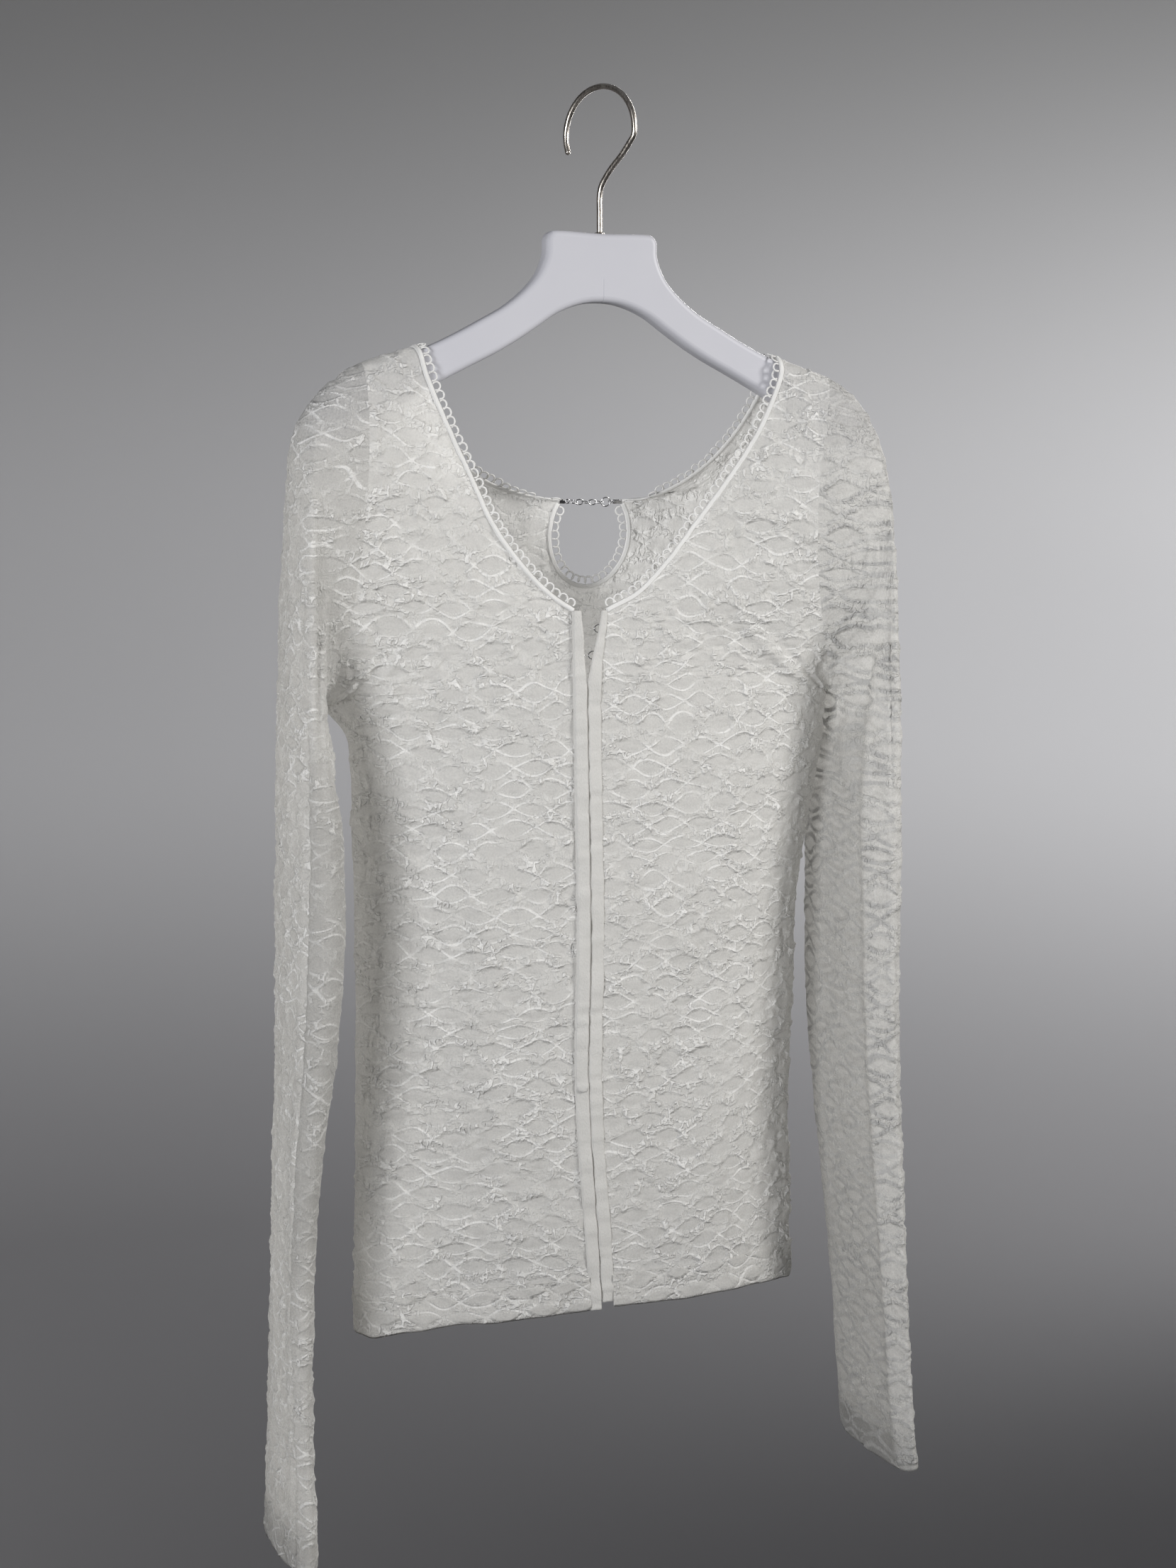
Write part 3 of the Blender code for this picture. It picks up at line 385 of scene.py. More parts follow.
def relief(u, w, lace, strength, seed):
    """Height of the crinkled lace at flat places u, w, and its warped pattern
    coordinates."""
    pitch, row = lace
    uu = u + .0034 * noise(u / .036, w / .030, seed) + .0015 * noise(u / .013, w / .012, seed + 1)
    ww = w + .0030 * noise(u / .042, w / .026, seed + 2) + .0015 * noise(u / .014, w / .010, seed + 3)
    a, b = uu / pitch, ww / row
    d, inside = lace_lines(a, b)
    lens = step_up(inside, .02, .30)
    cord = np.exp(-(d / .11)**2)
    here = step_up(noise(u / .027, w / .021, seed + 9), -.35, .45)
    # crosswise furrows and tucks, strongest between the lenses
    f1 = noise(uu / .0210, ww / .0052, seed + 4)
    f2 = noise(uu / .0090, ww / .0040, seed + 5)
    f3 = noise(uu / .0062, ww / .0052, seed + 10)
    patch = step_up(noise(u / .030, w / .024, seed + 6), -.55, .45)
    furrow = np.exp(-(f1 / .13)**2)
    tuck = np.exp(-(f2 / .17)**2)
    small = noise(uu / .0040, ww / .0046, seed + 7)
    big = noise(u / .055, w / .030, seed + 8)
    calm = 1 - .80 * lens
    h = (-.00008 * lens + .00008 * cord * here
         - .00125 * furrow * (.35 + .65 * patch) * (1 - .55 * lens)
         + .00085 * tuck * calm * (.45 + .55 * here) + .00062 * f3 * calm
         + .00066 * small * calm + .00085 * big)
    return h * strength, a, b


def normals(p, flip):
    du = np.gradient(p, axis=1)
    dv = np.gradient(p, axis=0)
    n = unit(np.cross(du, dv))
    return -n if flip else n


# ---------------------------------------------------------------- meshes
def link(name, mesh, mats, flat=None):
    obj = bpy.data.objects.new(name, mesh)
    bpy.context.scene.collection.objects.link(obj)
    for m in (mats if isinstance(mats, (list, tuple)) else [mats]):
        mesh.materials.append(m)
    mesh.shade_smooth()
    if flat:
        mesh.set_sharp_from_angle(angle=math.radians(flat))
    return obj


def put_uv(mesh, name, per_vertex):
    layer = mesh.uv_layers.new(name=name)
    index = np.zeros(len(mesh.loops), np.int32)
    mesh.loops.foreach_get("vertex_index", index)
    layer.data.foreach_set("uv", per_vertex[index].astype(np.float32).ravel())


def put_value(mesh, name, per_vertex):
    layer = mesh.attributes.new(name, "FLOAT", "POINT")
    layer.data.foreach_set("value", per_vertex.astype(np.float32))


def quads_of(rows, cols, flip=False):
    r, c = np.meshgrid(np.arange(rows - 1), np.arange(cols - 1), indexing="ij")
    i = (r * cols + c).ravel()
    q = np.column_stack([i, i + 1, i + cols + 1, i + cols])
    return q[:, ::-1] if flip else q


def mesh_of(name, verts, faces):
    mesh = bpy.data.meshes.new(name)
    mesh.from_pydata(verts.tolist(), [], faces.tolist())
    mesh.update()
    return mesh


def sweep(name, path, frames_a, frames_b, profile, mat, closed=False, caps=True, rough=None):
    """Closed tube: a profile (list of a, b offsets) carried along a path."""
    path = np.asarray(path)
    prof = np.asarray(profile)
    if prof.ndim == 2:
        prof = np.repeat(prof[None], len(path), axis=0)
    pts = (path[:, None] + frames_a[:, None] * prof[..., :1] + frames_b[:, None] * prof[..., 1:])
    n, m = pts.shape[:2]
    faces = []
    for i in range(n if closed else n - 1):
        j = (i + 1) % n
        for k in range(m):
            l = (k + 1) % m
            faces.append((i * m + k, i * m + l, j * m + l, j * m + k))
    if caps and not closed:
        faces.append(tuple(range(m))[::-1])
        faces.append(tuple((n - 1) * m + k for k in range(m)))
    return pts.reshape(-1, 3), faces


def join_parts(name, parts, mat, flat=None):
    verts, faces, base = [], [], 0
    for v, f in parts:
        verts.append(np.asarray(v))
        faces += [tuple(int(i) + base for i in q) for q in f]
        base += len(v)
    mesh = bpy.data.meshes.new(name)
    mesh.from_pydata(np.vstack(verts).tolist(), [], faces)
    bm = bmesh.new()
    bm.from_mesh(mesh)
    bmesh.ops.recalc_face_normals(bm, faces=bm.faces)
    bm.to_mesh(mesh)
    bm.free()
    return link(name, mesh, mat, flat)


def round_profile(a, b, count):
    t = np.arange(count) * 2 * math.pi / count
    return np.column_stack([a * np.cos(t), b * np.sin(t)])


def tube_frames(path, closed=False, hint=(0, 0, 1)):
    """Frames that follow a path without twisting."""
    path = np.asarray(path)
    if closed:
        tan = unit(np.roll(path, -1, axis=0) - np.roll(path, 1, axis=0))
    else:
        tan = unit(np.gradient(path, axis=0))
    a = []
    last = np.array(hint, float)
    for t in tan:
        side = last - t * np.dot(last, t)
        if np.linalg.norm(side) < 1e-6:
            side = np.cross(t, (1, 0, 0))
        last = side / np.linalg.norm(side)
        a.append(last)
    a = np.array(a)
    return a, np.cross(tan, a)


def wire(path, radius, count=10, closed=False, hint=(0, 0, 1)):
    a, b = tube_frames(path, closed, hint)
    return sweep("", path, a, b, round_profile(radius, radius, count), None, closed)


# ---------------------------------------------------------------- materials
class Net:
    """Small helper that builds node networks."""

    def __init__(self, name):
        self.mat = bpy.data.materials.new(name)
        self.mat.use_nodes = True
        self.tree = self.mat.node_tree
        self.tree.nodes.clear()
        self.out = self.tree.nodes.new("ShaderNodeOutputMaterial")

    def node(self, kind, **props):
        n = self.tree.nodes.new(kind)
        for k, v in props.items():
            setattr(n, k, v)
        return n

    def feed(self, socket, value):
        if isinstance(value, bpy.types.NodeSocket):
            self.tree.links.new(value, socket)
        else:
            socket.default_value = value

    def math(self, op, a, b=None, c=None, clamp=False):
        n = self.node("ShaderNodeMath", operation=op, use_clamp=clamp)
        for s, v in zip(n.inputs, (a, b, c)):
            if v is not None:
                self.feed(s, v)
        return n.outputs[0]

    def add(self, a, b): return self.math("ADD", a, b)
    def sub(self, a, b): return self.math("SUBTRACT", a, b)
    def mul(self, a, b): return self.math("MULTIPLY", a, b)
    def low(self, a, b): return self.math("MINIMUM", a, b)
    def high(self, a, b): return self.math("MAXIMUM", a, b)
    def absol(self, a): return self.math("ABSOLUTE", a)

    def ramp(self, x, low, high, to_low=0., to_high=1.):
        n = self.node("ShaderNodeMapRange", interpolation_type="SMOOTHSTEP")
        self.feed(n.inputs["Value"], x)
        n.inputs["From Min"].default_value = low
        n.inputs["From Max"].default_value = high
        n.inputs["To Min"].default_value = to_low
        n.inputs["To Max"].default_value = to_high
        return n.outputs[0]

    def noise(self, vector, scale, detail=2., rough=.5, dims="3D"):
        n = self.node("ShaderNodeTexNoise", noise_dimensions=dims)
        self.feed(n.inputs["Vector"], vector)
        n.inputs["Scale"].default_value = scale
        n.inputs["Detail"].default_value = detail
        n.inputs["Roughness"].default_value = rough
        return n.outputs["Fac"]

    def scaled(self, vector, scale):
        n = self.node("ShaderNodeMapping")
        self.feed(n.inputs["Vector"], vector)
        n.inputs["Scale"].default_value = scale
        return n.outputs[0]

    def place(self):
        return self.node("ShaderNodeTexCoord").outputs["Object"]

    def blend(self, fac, a, b):
        n = self.node("ShaderNodeMix", data_type="RGBA")
        self.feed(n.inputs["Factor"], fac)
        self.feed(n.inputs["A"], a)
        self.feed(n.inputs["B"], b)
        return n.outputs["Result"]

    def bump(self, height, distance, strength=1.):
        n = self.node("ShaderNodeBump")
        self.feed(n.inputs["Height"], height)
        n.inputs["Distance"].default_value = distance
        n.inputs["Strength"].default_value = strength
        return n.outputs[0]

    def surface(self, shader):
        self.tree.links.new(shader, self.out.inputs["Surface"])
        return self.mat


def rgb(r, g, b):
    return (r, g, b, 1.)


def lace_material(name, lace_mm, sleeve, cords=(.925, .920, .905), painted_backlight=False):
    """Crinkled stretch lace: cords round open net lenses in half-drop rows."""
    n = Net(name)
    pitch, row = lace_mm
    uv = n.node("ShaderNodeUVMap", uv_map="Lace").outputs[0]
    sep = n.node("ShaderNodeSeparateXYZ")
    n.feed(sep.inputs[0], uv)
    a, b = sep.outputs[0], sep.outputs[1]
    place = n.place()

    dist = inside = knot = None
    for shift in (0, 1):
        x = n.add(a, .5 * shift)
        x = n.sub(x, n.math("ROUND", x))
        y = n.mul(n.sub(b, float(shift)), .5)
        y = n.mul(n.absol(n.sub(y, n.math("ROUND", y))), 2.)
        ang = n.mul(x, math.pi)
        f = n.mul(n.math("POWER", n.high(n.math("COSINE", ang), 0.), 1.1), .43)
        d = n.absol(n.sub(y, f))
        d = n.mul(d, n.sub(1., n.mul(n.absol(n.math("SINE", ang)), .22)))
        gap = n.sub(f, y)
        ax = n.mul(n.sub(.5, n.absol(x)), pitch / row)
        k = n.math("SQRT", n.add(n.mul(ax, ax), n.mul(y, y)))
        dist = d if dist is None else n.low(dist, d)
        inside = gap if inside is None else n.high(inside, gap)
        knot = k if knot is None else n.low(knot, k)
    mm = row                                     # row spacing in mm
    some = n.ramp(n.noise(place, 52., 1., .5), .42, .60, .55 if painted_backlight else .15, 1.)
    wide = (.8, 1.9) if painted_backlight else (.40, 1.05) if sleeve else (.30, .95)
    cord = n.ramp(dist, wide[0] / mm, wide[1] / mm, 1., 0.)
    cord = n.high(cord, n.mul(n.ramp(knot, .9 / mm, 2.0 / mm, 1., 0.), .9))
    cord = n.mul(cord, some)
    inner = n.ramp(n.absol(n.sub(inside, 2.1 / mm)), .15 / mm, .5 / mm, 1., 0.)
    dash = n.ramp(n.math("SINE", n.mul(a, 2 * math.pi * pitch / 2.0)), -.2, .5)
    inner = n.mul(n.mul(inner, dash), some)
    lens = n.ramp(inside, .02, .22)

    # short upright puckers between the lenses
    pick = n.noise(n.scaled(place, (430., 430., 230.)), 1., 1., .5)
    pick2 = n.noise(n.scaled(place, (180., 180., 400.)), 1., 1., .5)
    spots = n.noise(place, 85., 1., .5)
    spots2 = n.noise(place, 36., 1., .5)
    patch = n.mul(n.ramp(spots, .36, .56, .35, 1.), n.ramp(spots2, .36, .56, .45, 1.))
    field = n.mul(n.sub(1., n.mul(lens, .85)), patch)
    tick = n.mul(n.high(n.ramp(pick, .49, .64), n.mul(n.ramp(pick2, .51, .66), .8)), field)

    grain = n.noise(place, 760., 2., .6)
    crumb = n.noise(n.scaled(place, (210., 210., 330.)), 1., 2., .6)
    tone = n.noise(place, 16., 2., .5)

    solid = n.high(n.high(n.mul(cord, 1. if painted_backlight else .62), n.mul(inner, .45)), n.mul(tick, 0. if painted_backlight else .62))
    dense = n.node("ShaderNodeAttribute", attribute_name="dense").outputs["Fac"]
    cover_net = n.ramp(grain, .30, .66, .74 if sleeve else .86, .98)
    cover_field = n.ramp(grain, .32, .56, .74 if sleeve else .86, 1.)
    mixed = n.add(n.mul(cover_net, lens), n.mul(cover_field, n.sub(1., lens)))
    cover = n.high(n.high(mixed, solid), dense)

    height = n.add(n.add(n.mul(cord, .30), n.mul(tick, 1.15)),
                   n.add(n.mul(inner, .15), n.add(n.mul(n.mul(grain, .22), n.add(.3, field)),
                                                  n.mul(n.mul(crumb, 1.9), n.add(.12, field)))))
    # the mask of painted shade also calms the bump there
    calm = n.node("ShaderNodeAttribute", attribute_name="painted_shade_and_calm").outputs["Fac"]
    bump = n.bump(n.mul(height, n.sub(1., n.mul(calm, .8))), .00080)

    # painted light: for the backlit sleeve the net is painted lighter, as light shining through from behind
    white = (n.blend(tone, rgb(.800, .792, .770), rgb(.840, .834, .815)) if painted_backlight else
             n.blend(tone, rgb(.715, .706, .682), rgb(.755, .748, .728)))
    # on the body and one sleeve, cords, inner rings and puckers are coloured lighter as denser lace; on the puckers
    # this is also a painted highlight on their raised tops; on the backlit sleeve the cords are painted dark instead
    colour = n.blend(n.mul(solid, .85), white, rgb(*cords))
    # painted shade: the net inside the lenses is darkened a little for the dark inside the garment seen through it
    colour = n.blend(n.mul(lens, .22), colour, rgb(.640, .632, .612))
    # painted shade: colour darkened where the sleeve lies in shade
    painted_shade_and_calm = n.node("ShaderNodeAttribute", attribute_name="painted_shade_and_calm").outputs["Fac"]
    colour = n.blend(painted_shade_and_calm, colour, rgb(.400, .395, .380))
    body = n.node("ShaderNodeBsdfPrincipled")
    n.feed(body.inputs["Base Color"], colour)
    body.inputs["Roughness"].default_value = .60
    body.inputs["Specular IOR Level"].default_value = .30
    body.inputs["Sheen Weight"].default_value = .15
    body.inputs["Sheen Roughness"].default_value = .45
    n.feed(body.inputs["Normal"], bump)
    glow = n.node("ShaderNodeBsdfTranslucent")
    n.feed(glow.inputs["Color"], colour)
    n.feed(glow.inputs["Normal"], bump)
    through = n.ramp(solid, 0., 1., .58 if sleeve else .40, .12)
    mix = n.node("ShaderNodeMixShader")
    n.feed(mix.inputs[0], through)
    n.feed(mix.inputs[1], body.outputs[0])
    n.feed(mix.inputs[2], glow.outputs[0])
    clear = n.node("ShaderNodeBsdfTransparent")
    cut = n.node("ShaderNodeMixShader")
    n.feed(cut.inputs[0], cover)
    n.feed(cut.inputs[1], clear.outputs[0])
    n.feed(cut.inputs[2], mix.outputs[0])
    return n.surface(cut.outputs[0])


def knit_material(name, colour, dark_tone_and_rib_shade, fine, rise, glow_share=.12):
    """Close smooth knit with a fine rib."""
    n = Net(name)
    place = n.place()
    rib = n.noise(n.scaled(place, fine), 1., 1., .5)
    cloud = n.noise(place, 60., 2., .5)
    col = n.blend(cloud, dark_tone_and_rib_shade, colour)
    # painted shade: the rib's grooves are coloured darker
    col = n.blend(n.ramp(rib, .35, .6, .5, 0.), col, dark_tone_and_rib_shade)
    bump = n.bump(n.add(n.mul(rib, .7), n.mul(cloud, .8)), rise)
    body = n.node("ShaderNodeBsdfPrincipled")
    n.feed(body.inputs["Base Color"], col)
    body.inputs["Roughness"].default_value = .68
    body.inputs["Specular IOR Level"].default_value = .30
    body.inputs["Sheen Weight"].default_value = .20
    body.inputs["Sheen Roughness"].default_value = .45
    n.feed(body.inputs["Normal"], bump)
    glow = n.node("ShaderNodeBsdfTranslucent")
    n.feed(glow.inputs["Color"], col)
    mix = n.node("ShaderNodeMixShader")
    mix.inputs[0].default_value = glow_share
    n.feed(mix.inputs[1], body.outputs[0])
    n.feed(mix.inputs[2], glow.outputs[0])
    return n.surface(mix.outputs[0])


def metal_material(name, light, dark, rough_low, rough_high, scale, stretch):
    n = Net(name)
    place = n.place()
    streak = n.noise(n.scaled(place, stretch), scale, 3., .6)
    cloud = n.noise(place, scale * .15, 2., .5)
    col = n.blend(n.ramp(cloud, .3, .7), dark, light)
    body = n.node("ShaderNodeBsdfPrincipled")
    n.feed(body.inputs["Base Color"], col)
    body.inputs["Metallic"].default_value = 1.
    n.feed(body.inputs["Roughness"], n.ramp(streak, .3, .7, rough_low, rough_high))
    n.feed(body.inputs["Normal"], n.bump(streak, .00004))
    return n.surface(body.outputs[0])


def paint_material(name):
    """Satin paint on wood, with a faint joint line down the middle."""
    n = Net(name)
    place = n.place()
    sep = n.node("ShaderNodeSeparateXYZ")
    n.feed(sep.inputs[0], place)
    x, z = n.absol(sep.outputs[0]), sep.outputs[2]
    line = n.mul(n.ramp(x, .00012, .00045, 1., 0.), n.ramp(z, -.112, -.109, 1., 0.))
    orange = n.noise(place, 420., 2., .5)
    wave = n.noise(place, 28., 2., .5)
    rub = n.ramp(n.noise(place, 9., 3., .55), .56, .74)
    col = n.blend(wave, rgb(.500, .500, .540), rgb(.530, .530, .565))
    col = n.blend(n.mul(line, .45), col, rgb(.38, .38, .43))
    body = n.node("ShaderNodeBsdfPrincipled")
    n.feed(body.inputs["Base Color"], col)
    n.feed(body.inputs["Roughness"], n.ramp(rub, 0., 1., .46, .56))
    body.inputs["Specular IOR Level"].default_value = .35
    height = n.sub(n.add(n.mul(orange, .10), n.mul(wave, .6)), n.mul(line, .5))
    n.feed(body.inputs["Normal"], n.bump(height, .00018))
    return n.surface(body.outputs[0])


def label_material(name):
    n = Net(name)
    place = n.place()
    weave = n.noise(n.scaled(place, (1400., 1400., 260.)), 1., 1., .5)
    cloud = n.noise(place, 70., 2., .5)
    col = n.blend(cloud, rgb(.80, .80, .81), rgb(.86, .86, .87))
    body = n.node("ShaderNodeBsdfPrincipled")
    n.feed(body.inputs["Base Color"], col)
    body.inputs["Roughness"].default_value = .42
    n.feed(body.inputs["Normal"], n.bump(weave, .00008))
    return n.surface(body.outputs[0])


LACE = lace_material("lace_body", (25.0, 12.2), False)
LACE_SLEEVE = lace_material("lace_sleeve", (20.5, 12.5), True)
# painted light: this sleeve's cords painted dark and its net light, standing for light shining through it from
# behind
LACE_PAINTED_BACKLIGHT = lace_material("lace_sleeve_painted_backlight", (29.0, 13.5), True, (.430, .426, .415), True)
BAND = knit_material("band_knit", rgb(.680, .672, .648), rgb(.585, .576, .553), (1300., 1300., 700.), .00045)
EDGE = knit_material("edging_cord", rgb(.850, .845, .830), rgb(.740, .735, .720), (2200., 2200., 2200.), .00016)
PAINT = paint_material("hanger_paint")
HOOK = metal_material("hook_nickel", rgb(.56, .52, .47), rgb(.42, .385, .35), .24, .38, 900., (1., 1., .25))
CHAIN = metal_material("chain_silver", rgb(.68, .68, .69), rgb(.44, .44, .45), .14, .28, 1500., (1., 1., 1.))
TAB = label_material("label_satin")


# ---------------------------------------------------------------- cloth
def edge_taper(p, cols_in, cols_out, width):
    """1 inside a grid, falling to 0 at the chosen column edges."""
    seg = np.linalg.norm(np.diff(p, axis=1), axis=2)
    run = np.concatenate([np.zeros((len(p), 1)), np.cumsum(seg, axis=1)], axis=1)
    t = np.ones(run.shape)
    if cols_in:
        t *= step_up(run, 0, width)
    if cols_out:
        t *= step_up(run[:, -1:] - run, 0, width)
    return t


def flat_u(p):
    """Distance along each row, measured level."""
    seg = np.linalg.norm(np.diff(p[..., :2], axis=1), axis=2)
    return np.concatenate([np.zeros((len(p), 1)), np.cumsum(seg, axis=1)], axis=1)


def lace_piece(name, p, u, w, taper, flip, lace, strength, seed, mat, hem_rows, hem_first, dense=None):
    """Displaced lace grid with its hem turned up inside."""
    n = normals(p, flip)
    h, a, b = relief(u, w, lace, strength, seed)
    if hem_first:
        run = np.arange(len(p))[:, None]
    else:
        run = np.arange(len(p))[::-1][:, None]
    fold_line = np.exp(-((run - hem_rows) / 1.1)**2)
    calm = 1 - .45 * step_up(hem_rows + 2 - run, 0, 3)
    h = h * taper * calm - .00055 * fold_line * taper
    edge_wave = .0012 * noise(u / .021, w * 0 + seed, seed + 31) * np.exp(-(run / 9.)**2)
    q = p + n * h[..., None]
    q[..., 2] += edge_wave
    q[..., 1] += (.0010 * noise(u / .017, w * 0 + seed, seed + 32) * np.exp(-(run / 7.)**2)) * taper
    # the turned part: the same rows again, a wall further in
    t = np.arange(1, hem_rows + 1)
    rows = t if hem_first else len(p) - 1 - t
    gap = HEM_GAP * (1 - np.exp(-t / .8))
    inner = q[rows] - n[rows] * gap[:, None, None]
    ia, ib = a[rows] + .31, b[rows] + .47
    dens = np.zeros(h.shape) if dense is None else dense
    if hem_first:
        q = np.concatenate([inner[::-1], q])
        a, b = np.concatenate([ia[::-1], a]), np.concatenate([ib[::-1], b])
        dens = np.concatenate([dens[rows][::-1], dens])
    else:
        q = np.concatenate([q, inner])
        a, b = np.concatenate([a, ia]), np.concatenate([b, ib])
        dens = np.concatenate([dens, dens[rows]])
    return q, a, b, dens


def finish_cloth(name, q, a, b, dens, quads, mat, bake=None, painted_shade_and_calm=None):
    rows, cols = q.shape[:2]
    mesh = mesh_of(name, q.reshape(-1, 3), quads)
    put_uv(mesh, "Lace", np.column_stack([a.ravel(), b.ravel()]))
    if bake is None:
        r, c = np.meshgrid(np.linspace(.01, .99, rows), np.linspace(.01, .99, cols), indexing="ij")
        bake = np.column_stack([c.ravel(), r.ravel()])
    put_uv(mesh, "OFBake", bake)
    put_value(mesh, "dense", dens.ravel())
    put_value(mesh, "painted_shade_and_calm", np.zeros(dens.size) if painted_shade_and_calm is None else painted_shade_and_calm.ravel())
    return link(name, mesh, mat)


def rows_for_panel():
    low = np.linspace(0, 1, int(round((ARMPIT_Z - HEM_Z) / STEP)) + 1)
    high = np.linspace(1, 2, 146)[1:]
    return np.concatenate([low, high])


def build_front(name, side):
    vs = rows_for_panel()
    cols = 114
    ss = np.linspace(0, 1, cols)
    p = panel_rows("front", side, vs, ss)
    u = flat_u(p) + np.abs(p[:, :1, 0] + .0098)
    u = u * side
    w = p[..., 2]
    taper = edge_taper(p, True, True, .0045)
    taper *= step_up(NECK_TOP - .012 - w, -.030, .012) * .6 + .4
    taper[-1] = 0
    seam = 1 - edge_taper(p, False, True, .0060)
    dense = .85 * step_up(seam, .35, .75)
    hem_rows = int(round(HEM / STEP))
    q, a, b, dens = lace_piece(name, p, u, w, taper, side > 0, BODY_LACE, 1., 11 if side < 0 else 47,
                               LACE, hem_rows, True, dense)
    obj = finish_cloth(name, q, a, b, dens, quads_of(*q.shape[:2], flip=side < 0), LACE)
    return obj, p


def build_back():
    vs = rows_for_panel()
    cols = 114
    ss = np.linspace(0, 1, cols)
    halves = {}
    shared = np.array([v <= 2 - KEY_FOOT / math.pi + 1e-9 for v in vs])
    hem_rows = int(round(HEM / STEP))
    made, ns = {}, {}
    for side in (-1, 1):
        p = panel_rows("back", side, vs, ss)
        made[side] = p
    mid_n = normals(made[-1], True)[:, 0] + normals(made[1], False)[:, 0]
    out = {}
    for side in (-1, 1):
        p = made[side]
        u = (flat_u(p) + np.abs(p[:, :1, 0] - KEY_X)) * side
        w = p[..., 2]
        taper = edge_taper(p, False, True, .0045)
        taper = np.where(shared[:, None], taper, taper * edge_taper(p, True, False, .0045))
        taper *= step_up(NECK_TOP - .012 - w, -.030, .012) * .6 + .4
        taper[-1] = 0
        seam = 1 - edge_taper(p, False, True, .0060)
        dense = .85 * step_up(seam, .35, .75)
        q, a, b, dens = lace_piece("back", p, u, w, taper, side < 0, BODY_LACE, 1., 83,
                                   LACE, hem_rows, True, dense)
        out[side] = (q, a, b, dens)
    flag = np.concatenate([np.ones(hem_rows, bool), shared])
    qr, ql = out[-1][0], out[1][0]
    mid = (qr[:, 0] + ql[:, 0]) / 2
    qr[flag, 0] = mid[flag]
    ql[flag, 0] = mid[flag]
    # one mesh: right half's columns reversed, then the left half's
    rows = len(qr)
    verts = np.concatenate([qr[:, ::-1], ql], axis=1)
    a = np.concatenate([out[-1][1][:, ::-1], out[1][1]], axis=1)
    b = np.concatenate([out[-1][2][:, ::-1], out[1][2]], axis=1)
    dens = np.concatenate([out[-1][3][:, ::-1], out[1][3]], axis=1)
    total = 2 * cols
    quads = quads_of(rows, total, flip=True)
    gap_col = quads[:, 0:4] % total
    crossing = (np.min(gap_col, axis=1) == cols - 1) & (np.max(gap_col, axis=1) == cols)
    quads = quads[~crossing]
    # weld the middle where the two halves are one cloth
    index = np.arange(rows * total)
    for r in range(rows):
        if flag[r]:
            index[r * total + cols] = index[r * total + cols - 1]
    quads = index[quads]
    mesh_q = verts
    obj = finish_cloth("lace_back", mesh_q, a, b, dens, quads, LACE)
    bm = bmesh.new()
    bm.from_mesh(obj.data)
    loose = [v for v in bm.verts if not v.link_faces]
    bmesh.ops.delete(bm, geom=loose, context="VERTS")
    bm.to_mesh(obj.data)
    bm.free()
    return obj, made


